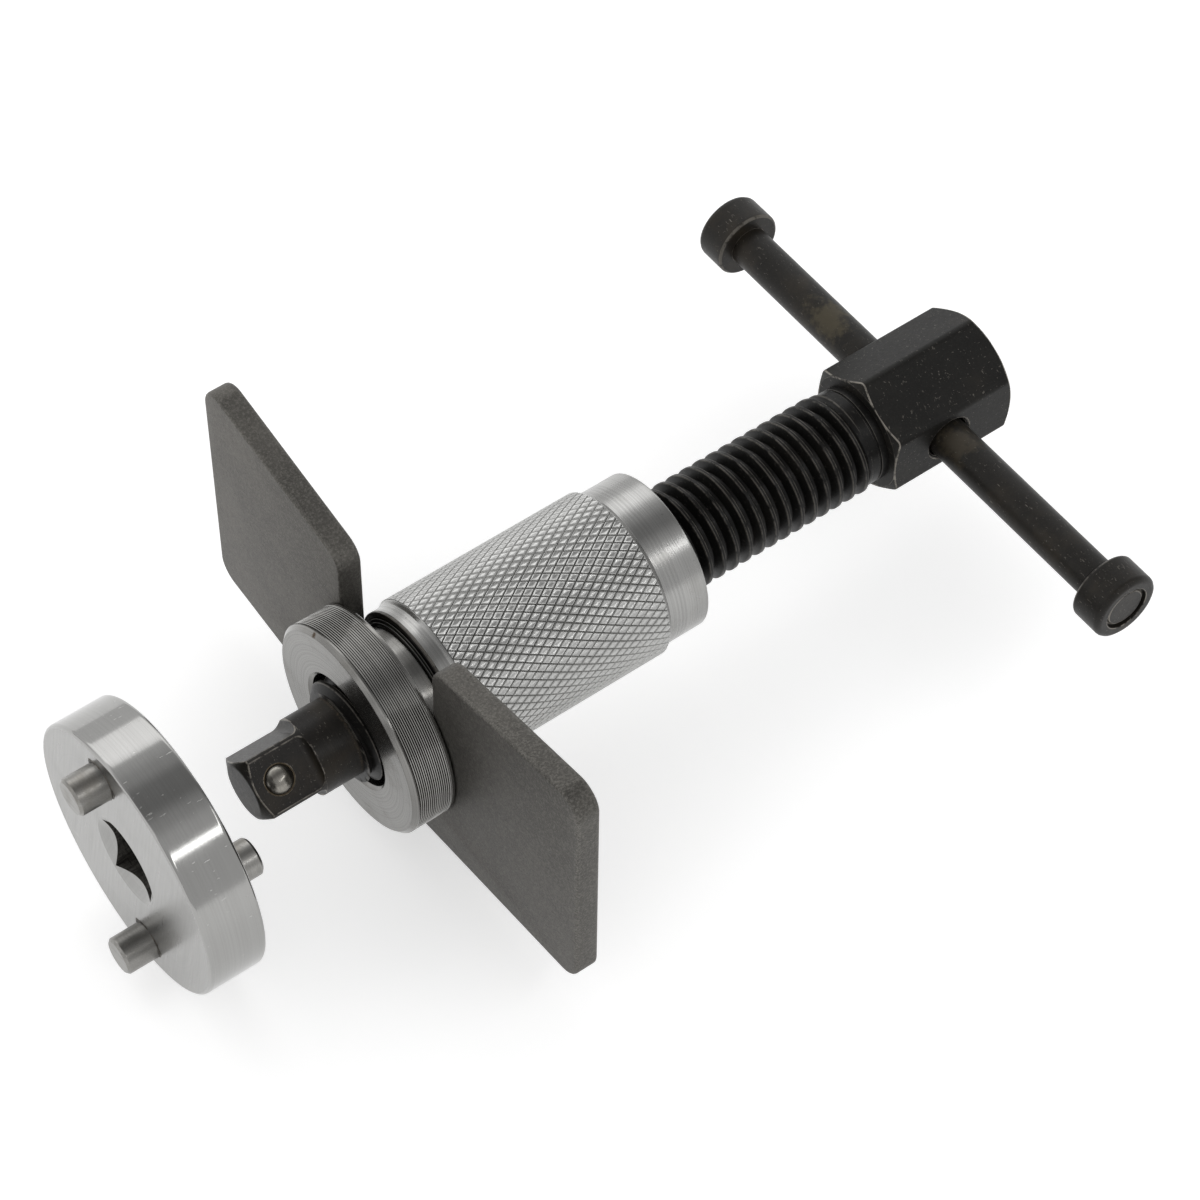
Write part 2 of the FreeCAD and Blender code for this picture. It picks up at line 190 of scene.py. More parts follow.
def plug(tree, value, slot):
    """Joins a wire, or a node's first output, to a socket, or sets the socket to a plain value."""
    if isinstance(value, bpy.types.Node):
        value = Wire(tree, value.outputs[0])
    if isinstance(value, Wire):
        tree.links.new(value.socket, slot)
    else:
        slot.default_value = value


def add_node(tree, kind, inputs=None, **settings):
    """A new node with its settings, and its inputs by name or number."""
    node = tree.nodes.new(kind)
    for key, value in settings.items():
        setattr(node, key, value)
    for key, value in (inputs or {}).items():
        plug(tree, value, node.inputs[key])
    return node


# Folds in degrees per millimetre, over spans in millimetres
tightest_fold = 400.0
least_span = 0.02
most_span = 0.5


def mark_edges(mesh):
    """Stores on each point how tightly the mesh folds outward there, for wear along edges."""
    loop_edges = np.empty(len(mesh.loops), np.int64)
    mesh.loops.foreach_get("edge_index", loop_edges)
    sides = np.empty(len(mesh.polygons), np.int64)
    mesh.polygons.foreach_get("loop_total", sides)
    normals = np.empty(len(mesh.polygons) * 3)
    mesh.polygons.foreach_get("normal", normals)
    centres = np.empty(len(mesh.polygons) * 3)
    mesh.polygons.foreach_get("center", centres)
    ends = np.empty(len(mesh.edges) * 2, np.int64)
    mesh.edges.foreach_get("vertices", ends)
    normals, centres, ends = normals.reshape(-1, 3), centres.reshape(-1, 3), ends.reshape(-1, 2)
    loop_faces = np.repeat(np.arange(len(sides)), sides)
    order = np.argsort(loop_edges, kind="stable")
    edge, face = loop_edges[order], loop_faces[order]
    paired = np.nonzero(edge[1:] == edge[:-1])[0]
    first, second, edge = face[paired], face[paired + 1], edge[paired]
    fold = np.degrees(np.arccos(np.clip((normals[first] * normals[second]).sum(1), -1, 1)))
    apart = centres[second] - centres[first]
    outward = (apart * normals[first]).sum(1) < 0
    degrees_per_mm = fold * outward / np.clip(np.linalg.norm(apart, axis=1) / MM, least_span, most_span)
    tightest = np.zeros(len(mesh.vertices))
    for side in (0, 1):
        np.maximum.at(tightest, ends[edge, side], degrees_per_mm)
    marks = mesh.attributes.new("edge", "FLOAT", "POINT")
    marks.data.foreach_set("value", np.clip(tightest / tightest_fold, 0, 1))


def merged_outward(mesh, distance):
    """Merges points closer than the distance, in metres, and points every face outward."""
    form = bmesh.new()
    form.from_mesh(mesh)
    bmesh.ops.remove_doubles(form, verts=form.verts, dist=distance)
    bmesh.ops.recalc_face_normals(form, faces=form.faces)
    form.to_mesh(mesh)
    form.free()


def finish_mesh(name, mesh, material, body, replaced=(), sharp=32):
    """Puts a mesh in the scene as a piece: smooth but for its edges, riding on its body."""
    merged_outward(mesh, 0.5e-6)
    mesh.shade_smooth()
    mesh.set_sharp_from_angle(angle=math.radians(sharp))
    mark_edges(mesh)
    if not mesh.materials:
        mesh.materials.append(material)
    piece = bpy.data.objects.new(name, mesh)
    bpy.context.scene.collection.objects.link(piece)
    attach(piece, body)
    if replaced:
        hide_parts(*replaced)
    return piece


def mesh_of(name, points, faces):
    """A mesh from points in millimetres and faces by the points' numbers."""
    mesh = bpy.data.meshes.new(name)
    mesh.from_pydata([tuple(c * MM for c in p) for p in points], [], faces)
    return mesh


def skin(name, rings, closed_loop):
    """A mesh over rings of points: joined end to start, or closed with a point at each end."""
    count = len(rings[0])
    points = [p for ring in rings for p in ring]
    faces = []
    spans = len(rings) if closed_loop else len(rings) - 1
    for i in range(spans):
        a = i * count
        b = ((i + 1) % len(rings)) * count
        for j in range(count):
            k = (j + 1) % count
            faces.append((a + j, a + k, b + k, b + j))
    if not closed_loop:
        for first in (0, (len(rings) - 1) * count):
            points.append(np.mean(rings[first // count], axis=0))
            faces.extend((first + j, first + (j + 1) % count, len(points) - 1) for j in range(count))
    return mesh_of(name, points, faces)


def eased(corners, steps=4):
    """Rounds each corner (x, radius, easing) of a half section with a small arc."""
    line = []
    count = len(corners)
    for i, (x, r, ease) in enumerate(corners):
        here = np.array([x, r])
        if ease <= 0:
            line.append(tuple(here))
            continue
        before = np.array(corners[i - 1][:2]) - here
        after = np.array(corners[(i + 1) % count][:2]) - here
        reach_before, reach_after = np.linalg.norm(before), np.linalg.norm(after)
        before, after = before / reach_before, after / reach_after
        half = math.acos(max(-1.0, min(1.0, float(before @ after)))) / 2
        setback = min(ease / math.tan(half), reach_before * 0.49, reach_after * 0.49)
        radius = setback * math.tan(half)
        middle = here + (before + after) / np.linalg.norm(before + after) * (radius / math.sin(half))
        start, end = here + before * setback - middle, here + after * setback - middle
        for k in range(steps + 1):
            mixed = start * (1 - k / steps) + end * (k / steps)
            line.append(tuple(middle + mixed / np.linalg.norm(mixed) * radius))
    return line


def guarded(line, reach=0.12):
    """Adds a point close to each end of every long run, so that wear stays at the edges."""
    full = []
    for here, there in zip(line, line[1:] + line[:1]):
        full.append(here)
        run = math.dist(here, there)
        if run > 4 * reach:
            for share in (reach / run, 1 - reach / run):
                full.append(tuple(a + (b - a) * share for a, b in zip(here, there)))
    return full


def turned(name, corners, around=192):
    """A turned form about X: a closed half section, or one that begins and ends on the axis."""
    line = guarded(eased(corners))
    solid = corners[0][1] == 0 and corners[-1][1] == 0
    if solid:
        line = [p for p in line if p[1] > 1e-6]
    angles = np.arange(around) * TURN / around
    rings = [np.stack([np.full(around, x), r * np.cos(angles), r * np.sin(angles)], 1) for x, r in line]
    return skin(name, rings, not solid)


def placed(mesh, to_place):
    """The mesh, moved."""
    mesh.transform(to_place)
    return mesh


def pieces_cut(name, mesh, cutters, bevel=0.0, bevel_angle=35):
    """The mesh less its cutters, with its new edges eased."""
    scene = bpy.context.scene.collection.objects
    for part in (mesh, *cutters):
        merged_outward(part, 1e-6)
    blank = bpy.data.objects.new(name, mesh)
    scene.link(blank)
    tools = []
    for cutter in cutters:
        tool = bpy.data.objects.new(name + "_tool", cutter)
        scene.link(tool)
        tools.append(tool)
        cut = blank.modifiers.new("cut", "BOOLEAN")
        cut.operation = "DIFFERENCE"
        cut.solver = "EXACT"
        cut.object = tool
    if bevel:
        edge = blank.modifiers.new("edge", "BEVEL")
        edge.width = bevel * MM
        edge.segments = 3
        edge.limit_method = "ANGLE"
        edge.angle_limit = math.radians(bevel_angle)
        edge.harden_normals = False
    bpy.context.view_layer.update()
    ready = bpy.data.meshes.new_from_object(blank.evaluated_get(bpy.context.evaluated_depsgraph_get()))
    for gone in (blank, *tools):
        bpy.data.objects.remove(gone)
    ready.name = name
    return ready


def named_tree(name, values):
    """A geometry node tree with a named input for each value."""
    tree = bpy.data.node_groups.new(name, "GeometryNodeTree")
    tree.interface.new_socket("Geometry", in_out="INPUT", socket_type="NodeSocketGeometry")
    tree.interface.new_socket("Geometry", in_out="OUTPUT", socket_type="NodeSocketGeometry")
    identifiers = {}
    for key, value in values.items():
        socket = tree.interface.new_socket(key, in_out="INPUT", socket_type="NodeSocketFloat")
        socket.default_value = value
        identifiers[key] = socket.identifier
    entry = tree.nodes.new("NodeGroupInput")
    size = {key: Wire(tree, entry.outputs[key]) for key in values}
    return tree, size, identifiers


def ending_in(tree, geometry, material):
    """Realizes a tree's instances, coats them and hands them out."""
    real = add_node(tree, "GeometryNodeRealizeInstances", {"Geometry": geometry})
    coated = add_node(tree, "GeometryNodeSetMaterial", {"Geometry": real, "Material": material})
    tree.links.new(coated.outputs[0], tree.nodes.new("NodeGroupOutput").inputs[0])


def grid_by_rule(name, columns, rows, rule, sizes, material):
    """A mesh from a node tree: a grid whose points are placed by a rule of their two coordinates."""
    tree, size, identifiers = named_tree(name, sizes)
    grid = add_node(tree, "GeometryNodeMeshGrid", {
        "Size X": 1.0, "Size Y": 1.0, "Vertices X": columns, "Vertices Y": rows})
    position = Wire(tree, tree.nodes.new("GeometryNodeInputPosition").outputs[0])
    split = add_node(tree, "ShaderNodeSeparateXYZ", {"Vector": position})
    along = Wire(tree, split.outputs[0]) + 0.5
    round_turn = Wire(tree, split.outputs[1]) + 0.5
    x, radius = rule(along, round_turn, size)
    angle = round_turn * TURN
    place = add_node(tree, "ShaderNodeCombineXYZ", {
        "X": x * MM, "Y": radius * angle.math("COSINE") * MM, "Z": radius * angle.math("SINE") * MM})
    moved = add_node(tree, "GeometryNodeSetPosition", {"Geometry": grid, "Position": place})
    merged = add_node(tree, "GeometryNodeMergeByDistance", {"Geometry": moved, "Distance": 0.002 * MM})
    ending_in(tree, merged, material)
    return mesh_from_tree(name, tree, identifiers, sizes)


def mesh_from_tree(name, tree, identifiers, sizes):
    """The plain mesh that a tree grows, with its named inputs set by their identifiers."""
    holder = bpy.data.objects.new(name + "_holder", bpy.data.meshes.new(name + "_holder"))
    grown = holder.modifiers.new("grown", "NODES")
    grown.node_group = tree
    for key, value in sizes.items():
        grown[identifiers[key]] = value
    bpy.context.scene.collection.objects.link(holder)
    bpy.context.view_layer.update()
    mesh = bpy.data.meshes.new_from_object(holder.evaluated_get(bpy.context.evaluated_depsgraph_get()))
    mesh.name = name
    holder.modifiers.remove(grown)
    bpy.data.objects.remove(holder)
    return mesh


class Finish:
    """A material under way: its tree, its shader and where on the object a point lies, in millimetres."""

    def __init__(self, name):
        self.material = bpy.data.materials.new(name)
        self.material.use_nodes = True
        self.tree = self.material.node_tree
        self.shader = next(n for n in self.tree.nodes if n.type == "BSDF_PRINCIPLED")
        coordinates = self.tree.nodes.new("ShaderNodeTexCoord").outputs["Object"]
        scaled = add_node(self.tree, "ShaderNodeVectorMath",
                          {0: Wire(self.tree, coordinates), 1: (1 / MM,) * 3}, operation="MULTIPLY")
        self.place = Wire(self.tree, scaled.outputs[0])
        parts = add_node(self.tree, "ShaderNodeSeparateXYZ", {0: self.place})
        self.x, self.y, self.z = (Wire(self.tree, o) for o in parts.outputs)

    def at(self, x, y, z):
        """The place with its own scale along each axis."""
        node = add_node(self.tree, "ShaderNodeVectorMath", {0: self.place, 1: (x, y, z)},
                        operation="MULTIPLY")
        return Wire(self.tree, node.outputs[0])

    def joined(self, x, y, z):
        """A place made of three wires or numbers."""
        return Wire(self.tree, add_node(self.tree, "ShaderNodeCombineXYZ", {0: x, 1: y, 2: z}).outputs[0])

    def radius(self):
        """Distance from the screw's axis."""
        return (self.y * self.y + self.z * self.z).math("SQRT")

    def noise(self, place, scale, detail=3.0, rough=0.6):
        """Cloudy noise, with its scale in spots per millimetre."""
        node = add_node(self.tree, "ShaderNodeTexNoise", {
            "Vector": place, "Scale": scale, "Detail": detail, "Roughness": rough})
        return Wire(self.tree, node.outputs[0])

    def cells(self, place, scale):
        """Distance from the middle of the nearest of many uneven cells."""
        node = add_node(self.tree, "ShaderNodeTexVoronoi", {"Vector": place, "Scale": scale})
        return Wire(self.tree, node.outputs["Distance"])

    def edges(self, reach):
        """Rises from 0 on open faces to 1 on edges, within reach millimetres."""
        rounded = add_node(self.tree, "ShaderNodeBevel", {"Radius": reach * MM}, samples=6)
        plain = self.tree.nodes.new("ShaderNodeNewGeometry").outputs["Normal"]
        dot = add_node(self.tree, "ShaderNodeVectorMath",
                       {0: rounded, 1: Wire(self.tree, plain)}, operation="DOT_PRODUCT")
        return (1.0 - Wire(self.tree, dot.outputs["Value"])).fade(0.004, 0.05)

    def worn(self):
        """The piece's own measure of its edges, from 0 on open faces to 1 on edges."""
        node = add_node(self.tree, "ShaderNodeAttribute", attribute_name="edge")
        return Wire(self.tree, node.outputs["Fac"]).fade(0.16, 0.4)

    def blend(self, share, first, second):
        """The first colour, going over to the second by its share."""
        node = self.tree.nodes.new("ShaderNodeMix")
        node.data_type = "RGBA"
        plug(self.tree, share, node.inputs["Factor"])
        for slot, value in ((node.inputs[6], first), (node.inputs[7], second)):
            plug(self.tree, value if isinstance(value, Wire) else (*value, 1.0), slot)
        return Wire(self.tree, node.outputs[2])

    def bump(self, height, depth):
        """Raises the surface by up to depth millimetres."""
        node = self.tree.nodes.new("ShaderNodeBump")
        plug(self.tree, height, node.inputs["Height"])
        node.inputs["Distance"].default_value = depth * MM
        node.inputs["Strength"].default_value = 1.0
        if self.shader.inputs["Normal"].is_linked:
            self.tree.links.new(self.shader.inputs["Normal"].links[0].from_socket, node.inputs["Normal"])
        self.tree.links.new(node.outputs[0], self.shader.inputs["Normal"])

    def under(self):
        """The colour given so far."""
        return Wire(self.tree, self.shader.inputs["Base Color"].links[0].from_socket)

    def set(self, **values):
        """Sets or joins the shader's inputs by name."""
        for key, value in values.items():
            plug(self.tree, value, self.shader.inputs[key.replace("_", " ").title()])
        return self

    def brushed_round(self, amount):
        """Reflections that stretch across the turning marks about the X axis."""
        tangent = self.tree.nodes.new("ShaderNodeTangent")
        tangent.direction_type = "RADIAL"
        tangent.axis = "X"
        self.tree.links.new(tangent.outputs[0], self.shader.inputs["Tangent"])
        self.shader.inputs["Anisotropic"].default_value = amount
        self.shader.inputs["Anisotropic Rotation"].default_value = 0.25


bare_steel = (0.27, 0.25, 0.22)
brown_film = (0.045, 0.034, 0.021)


def shade_of(colour, share):
    """The colour, made lighter or darker."""
    return tuple(c * share for c in colour)


def black_oxide(name, base, wear, gloss=0.42, brown=0.25, specular=0.25):
    """Blackened steel with bare edges, brown rub marks and fine speckles."""
    f = Finish(name)
    cloud = f.noise(f.place, 0.12, 4.0)
    fine = f.noise(f.place, 1.6, 5.0, 0.7)
    grain = f.noise(f.place, 3.6, 3.0, 0.7)
    speck = f.noise(f.at(1.0, 0.4, 1.0), 2.4, 2.0, 0.7).fade(0.63, 0.71)
    speck = speck * f.noise(f.place, 0.36, 3.0).fade(0.42, 0.56)
    colour = f.blend(cloud.fade(0.35, 0.7), base, shade_of(base, 1.6))
    colour = f.blend(grain.fade(0.45, 0.7) * 0.5, colour, shade_of(base, 2.4))
    colour = f.blend(cloud.fade(0.5, 0.72) * brown, colour, brown_film)
    worn_edge = f.worn() * f.noise(f.place, 0.5, 4.0, 0.7).fade(0.36, 0.56) * wear
    rubbed = worn_edge.math("ADD", speck * 0.4 * wear, clamp=True)
    scratches = f.noise(f.at(1.0, 0.16, 1.0), 3.4, 2.0).fade(0.7, 0.74) * (wear * 0.6)
    scuffs = f.noise(f.at(0.3, 1.0, 0.5), 4.4, 2.0).fade(0.71, 0.75) * (wear * 0.6)
    rubbed = rubbed.math("MAXIMUM", scratches).math("MAXIMUM", scuffs)
    colour = f.blend(rubbed, colour, bare_steel)
    f.set(base_color=colour, metallic=rubbed * 0.8,
          roughness=(fine * 0.22 + (gloss - 0.11)) - rubbed * 0.06)
    f.shader.inputs["Specular IOR Level"].default_value = specular
    f.bump(fine, 0.02)
    f.bump(cloud, 0.05)
    return f


def patch(f, centre, reach, colour, ragged=0.5, strength=1.0):
    """Colours a ragged spot, with its centre and its reach along each axis in millimetres."""
    shift = add_node(f.tree, "ShaderNodeVectorMath", {0: f.place, 1: centre}, operation="SUBTRACT")
    scaled = add_node(f.tree, "ShaderNodeVectorMath",
                      {0: shift, 1: tuple(1 / r for r in reach)}, operation="MULTIPLY")
    away = add_node(f.tree, "ShaderNodeVectorMath", {0: scaled}, operation="LENGTH")
    uneven = (f.noise(f.place, 1.4 / min(reach), 4.0, 0.7) - 0.5) * (ragged * 4)
    ragged_away = Wire(f.tree, away.outputs["Value"]) + uneven
    f.set(base_color=f.blend(ragged_away.fade(1.0, 0.3) * strength, f.under(), colour))
    return f


def bright_turned(name, base, roughness, lines, depth, brush, stain=0.25):
    """Bright metal with turning marks: rings along X on the round, arcs by radius on the faces."""
    f = Finish(name)
    streak = f.noise(f.joined(f.x * lines, f.radius() * lines, 0.0), 1.0, 3.0, 0.65)
    cloud = f.noise(f.place, 0.16, 3.0)
    colour = f.blend(streak.fade(0.3, 0.7) * 0.6, base, shade_of(base, 0.66))
    stained = tuple(c * k for c, k in zip(base, (0.5, 0.45, 0.37)))
    colour = f.blend(cloud.fade(0.5, 0.75) * stain, colour, stained)
    nick = f.noise(f.place, 0.9, 2.0).fade(0.72, 0.76)
    f.set(base_color=f.blend(nick * 0.4, colour, shade_of(base, 0.35)), metallic=1.0,
          roughness=streak * 0.16 + (roughness - 0.08) + cloud.fade(0.45, 0.7) * 0.06)
    f.bump(streak, depth)
    if brush:
        f.brushed_round(brush)
    return f


def ribbed_ring():
    """The ring's round: bright narrow lands, with painted shade darkening the grooves between them."""
    f = bright_turned("ribbed_ring", (0.34, 0.335, 0.32), 0.19, 1.2, 0.002, 0.0, 0.2)
    # Painted shade: below the rib tops the colour goes nearly black, standing in for shade in the grooves
    groove_painted_shade = f.radius().fade(ring_radius - 0.03, ring_radius - 0.12)
    f.set(base_color=f.blend(groove_painted_shade * 0.85, f.under(), (0.035, 0.034, 0.032)))
    return f


def tumbled_steel():
    """Grainy sintered plate with paler, smoother edges, and painted shade on the wing towards -Y."""
    f = Finish("tumbled_steel")
    grain = f.noise(f.place, 2.6, 4.0, 0.78)
    coarse = f.noise(f.place, 0.9, 3.0, 0.6)
    pits = f.cells(f.place, 1.7).fade(0.24, 0.06) * f.noise(f.place, 0.7).fade(0.46, 0.6)
    cloud = f.noise(f.place, 0.07, 4.0)
    edge = f.edges(0.8)
    colour = f.blend(cloud.fade(0.35, 0.68), (0.079, 0.075, 0.068), (0.106, 0.1, 0.09))
    # Painted shade: the wing towards -Y is darkened, standing in for the weaker light on that side
    colour = f.blend(f.y.fade(8.0, -8.0) * 0.4, colour, (0.05, 0.0475, 0.043))
    colour = f.blend(grain.fade(0.42, 0.66) * 0.6, colour, (0.2, 0.19, 0.172))
    colour = f.blend(coarse.fade(0.5, 0.7) * 0.35, colour, (0.07, 0.066, 0.06))
    colour = f.blend(pits * 0.6, colour, (0.035, 0.032, 0.028))
    colour = f.blend(edge * grain.fade(0.3, 0.6) * 0.7, colour, (0.3, 0.287, 0.262))
    f.set(base_color=colour, metallic=0.75, roughness=grain * 0.2 + 0.42 - edge * 0.1)
    f.bump(grain, 0.06)
    f.bump(pits * -1.0, 0.07)
    return f


def polished_disc():
    """Near-mirror turned steel: faint rings and scratches on the rim, satin arcs on the faces."""
    f = Finish("polished_disc")
    radius = f.radius()
    on_face = radius.fade(adaptor_radius - 0.25, adaptor_radius - 0.65)
    rings = f.noise(f.joined(f.x * 5.0, radius * 3.0, 0.0), 1.0, 3.0, 0.6)
    sweep = f.noise(f.place, 0.09, 3.0)
    arcs = f.noise(f.joined(f.y + f.z * 0.25, f.z * 0.03, 0.0), 2.4, 2.0)
    scratch = f.noise(f.at(0.25, 1.6, 1.6), 2.2, 2.0).fade(0.7, 0.74)
    hair = f.noise(f.at(1.4, 0.12, 0.5), 3.0, 2.0).fade(0.7, 0.73) * on_face
    colour = f.blend(rings.fade(0.35, 0.7) * 0.4, (0.35, 0.348, 0.34), (0.285, 0.282, 0.274))
    colour = f.blend(arcs.fade(0.4, 0.75) * on_face * 0.3, colour, (0.27, 0.267, 0.26))
    colour = f.blend(scratch * 0.55 * (1.0 - on_face), colour, (0.62, 0.62, 0.6))
    colour = f.blend(hair * 0.35, colour, (0.5, 0.5, 0.48))
    f.set(base_color=colour, metallic=1.0,
          roughness=on_face * (arcs * 0.1 + 0.24) + (1.0 - on_face) * (rings * 0.1 + 0.06)
          + sweep.fade(0.5, 0.7) * 0.04)
    f.bump(rings, 0.004)
    f.bump(scratch * (1.0 - on_face) * -1.0, 0.01)
    return f


def broached_steel():
    """Dark rough walls of the square hole, with marks drawn along X by the broach."""
    f = Finish("broached_steel")
    drawn = f.noise(f.at(0.12, 1.0, 1.0), 2.6, 4.0, 0.7)
    torn = f.noise(f.at(2.4, 0.5, 0.5), 1.5, 3.0, 0.7)
    colour = f.blend(drawn.fade(0.35, 0.7), (0.05, 0.047, 0.042), (0.15, 0.143, 0.13))
    colour = f.blend(torn.fade(0.5, 0.66) * 0.7, colour, (0.025, 0.023, 0.02))
    f.set(base_color=colour, metallic=0.8, roughness=torn * 0.2 + 0.4)
    f.bump(drawn, 0.08)
    f.bump(torn, 0.05)
    return f


def knurled_aluminium():
    """Pressed aluminium: pale, slightly grey, with dark specks on the flats of the diamonds and painted
    shade down in the grooves.
    """
    f = Finish("knurled_aluminium")
    speck = f.noise(f.place, 1.9, 3.0, 0.7)
    cloud = f.noise(f.place, 0.12, 3.0)
    # Painted shade: darker towards the knurl's floor, standing in for shade between the diamonds
    deep_painted_shade = f.radius().fade(knurl_radius - 0.03, knurl_floor + 0.02)
    colour = f.blend(speck.fade(0.5, 0.7) * 0.5, (0.5, 0.5, 0.49), (0.25, 0.245, 0.235))
    colour = f.blend(cloud.fade(0.4, 0.7) * 0.2, colour, (0.36, 0.36, 0.35))
    colour = f.blend(deep_painted_shade * 0.15, colour, (0.24, 0.237, 0.23))
    f.set(base_color=colour, metallic=0.9, roughness=speck * 0.18 + 0.2)
    f.bump(speck, 0.03)
    return f


# The finishes in use, with a colour, brightness and wear of its own for each piece
drive_finish = black_oxide("black_oxide_drive", (0.0095, 0.0082, 0.0068), 0.75, gloss=0.38, brown=0.35)
drive_finish.bump(drive_finish.noise(drive_finish.at(5.0, 0.3, 0.3), 1.0, 2.0), 0.03)
patch(drive_finish, (16.3, 0.0, 0.0), (0.5, 8.0, 8.0), (0.13, 0.1, 0.065), ragged=0.25, strength=0.8)
oxide_drive = drive_finish.material
oxide_thread = black_oxide(
    "black_oxide_thread", (0.0038, 0.0036, 0.0033), 0.3, gloss=0.36, brown=0.04, specular=0.16).material
oxide_head = black_oxide(
    "black_oxide_head", (0.0078, 0.0074, 0.0066), 0.85, gloss=0.46, brown=0.12, specular=0.16).material
bar_finish = black_oxide(
    "black_oxide_bar", (0.0095, 0.0083, 0.0068), 0.7, gloss=0.42, brown=0.35, specular=0.22)
patch(bar_finish, (122.6, 19.0, 2.6), (4.0, 5.5, 3.2), (0.11, 0.092, 0.055), ragged=0.6, strength=0.5)
patch(bar_finish, (122.6, -12.5, 2.6), (4.0, 4.0, 3.2), (0.08, 0.064, 0.04), ragged=0.6, strength=0.4)
oxide_bar = bar_finish.material
oxide_nut = black_oxide("black_oxide_nut", (0.007, 0.0067, 0.0062), 0.4, gloss=0.4).material
ring_finish = bright_turned("turned_ring", (0.24, 0.236, 0.226), 0.22, 3.2, 0.01, 0.8, 0.35)
patch(ring_finish, (18.1, 7.2, 15.4), (0.9, 0.6, 0.6), (0.05, 0.03, 0.014), strength=0.9)
ring_steel = ring_finish.material
rib_steel = ribbed_ring().material
washer_steel = bright_turned("washer_steel", (0.16, 0.157, 0.15), 0.36, 5.0, 0.004, 0.0).material
band_aluminium = bright_turned(
    "turned_aluminium", (0.375, 0.373, 0.364), 0.24, 3.2, 0.03, 0.4, 0.12).material
pin_steel = bright_turned("ground_pins", (0.3, 0.294, 0.28), 0.3, 6.0, 0.004, 0.0, 0.4).material
ball_steel = bright_turned("ball_steel", (0.29, 0.277, 0.25), 0.24, 2.0, 0.001, 0.0, 0.2).material
seat_brass = bright_turned("ball_seat", (0.1, 0.08, 0.055), 0.36, 6.0, 0.004, 0.0, 0.3).material
plate_steel = tumbled_steel().material
disc_steel = polished_disc().material
hole_steel = broached_steel().material
knurl_metal = knurled_aluminium().material
burr_steel = black_oxide("burr", (0.022, 0.02, 0.017), 0.4, gloss=0.5).material


def soft_least(*values, sharpness):
    """The least of the values, with the edge between them eased."""
    total = sum(np.exp(-sharpness * np.asarray(v)) for v in np.broadcast_arrays(*values))
    return -np.log(total) / sharpness


end_ring = 0.35


def polar_form(name, stations, around, radius_at):
    """A closed form whose radius follows a rule of station and angle, ringed inside its end edges."""
    angles = np.arange(around) * TURN / around
    rings = []
    for x, inside in [(stations[0], end_ring), *((x, 0.0) for x in stations), (stations[-1], end_ring)]:
        r = radius_at(x, angles) - inside
        rings.append(np.stack([np.full(around, x), r * np.cos(angles), r * np.sin(angles)], 1))
    return skin(name, rings, False)


def from_nearest(angles, sides, first):
    """Angle from the nearest of evenly spaced flats."""
    step = TURN / sides
    return (angles - first + step / 2) % step - step / 2


# Square drive with its sprung ball
tip_radius = 4.3
tip_slope = 2.05
drive_corner = 26.0
drive_corner_loss = 0.012


def drive_radius(x, angles):
    """Four flats that end in the cutter's own radius, with their corners turned and the tip eased."""
    if x > flat_end + cutter_radius:
        return np.full_like(angles, shaft_radius)
    run_out = max(x - flat_end, 0.0)
    flat = drive_half + cutter_radius - math.sqrt(max(cutter_radius ** 2 - run_out ** 2, 0.0))
    flats = flat / np.cos(from_nearest(angles, 4, TURN / 8))
    tip = tip_radius + tip_slope * max(x, 0.0)
    return soft_least(flats, shaft_radius, tip, sharpness=drive_corner) + drive_corner_loss


pocket_axis = Vector((0, -math.sqrt(0.5), math.sqrt(0.5)))
pocket_depth = 7.2
ball_from_tip = 4.2
ball_below_flat = 0.9


def along_pocket(below_flat):
    """Turns the X axis to the ball's pocket, with its start that far below the drive's flat."""
    start = Vector((ball_from_tip, 0, 0)) + pocket_axis * (drive_half - below_flat)
    turn = Vector((1, 0, 0)).rotation_difference(pocket_axis).to_matrix().to_4x4()
    return Matrix.Translation(start * MM) @ turn


round_start = flat_end + cutter_radius
stations = np.concatenate([
    np.linspace(0, 1.2, 13), np.linspace(1.4, flat_end - 0.2, 26),
    np.linspace(flat_end - 0.1, round_start, 30), round_start + np.array([0.004, 0.2, 1.0]),
    [13.5, shoulder_at - 0.2, shoulder_at + 0.8]])
drive = polar_form("square_drive", stations, 320, drive_radius)
pocket_cut = 8.0
pocket = turned("pocket", [
    (0, 0, 0), (0, pocket_radius, 0), (pocket_cut, pocket_radius, 0), (pocket_cut, 0, 0)], 96)
drive = pieces_cut("square_drive", drive, [placed(pocket, along_pocket(pocket_depth))])
finish_mesh("square_drive", drive, oxide_drive, "spindle", ["spindle"])

# The rim staked over the ball, as stations and radii along the pocket
seat_outside = pocket_radius - 0.005
seat = turned("ball_seat", [
    (-0.9, pocket_radius - 0.035, 0), (-0.9, seat_outside, 0), (-0.04, seat_outside, 0.02),
    (-0.04, pocket_radius - 0.175, 0.02), (-0.3, pocket_radius - 0.1, 0)], 96)
finish_mesh("ball_seat", placed(seat, along_pocket(0.0)), seat_brass, "spindle")

arc = np.linspace(0, math.pi, 49)
ball = turned("ball", [(-ball_radius * math.cos(a), ball_radius * math.sin(a), 0) for a in arc], 96)
placed(ball, along_pocket(ball_below_flat))
finish_mesh("ball", ball, ball_steel, "ball", ["detent_ball"])

# Thread: one crest seen in the photograph sets where all its turns fall
columns_per_turn = 20
turns_shown = (thread_end - shoulder_at) / thread_pitch
thread_columns = int((turns_shown + 2) * columns_per_turn) + 2
crest_seen_at = 92.5
crest_seen_turn = 33.5 / 360
crest_phase = (crest_seen_at - shoulder_at) / thread_pitch - crest_seen_turn
first_column = crest_phase * columns_per_turn % 1 / columns_per_turn - 1.05
crest_share = 0.2
flank_share = 0.6
first_crest_radius = 7.7


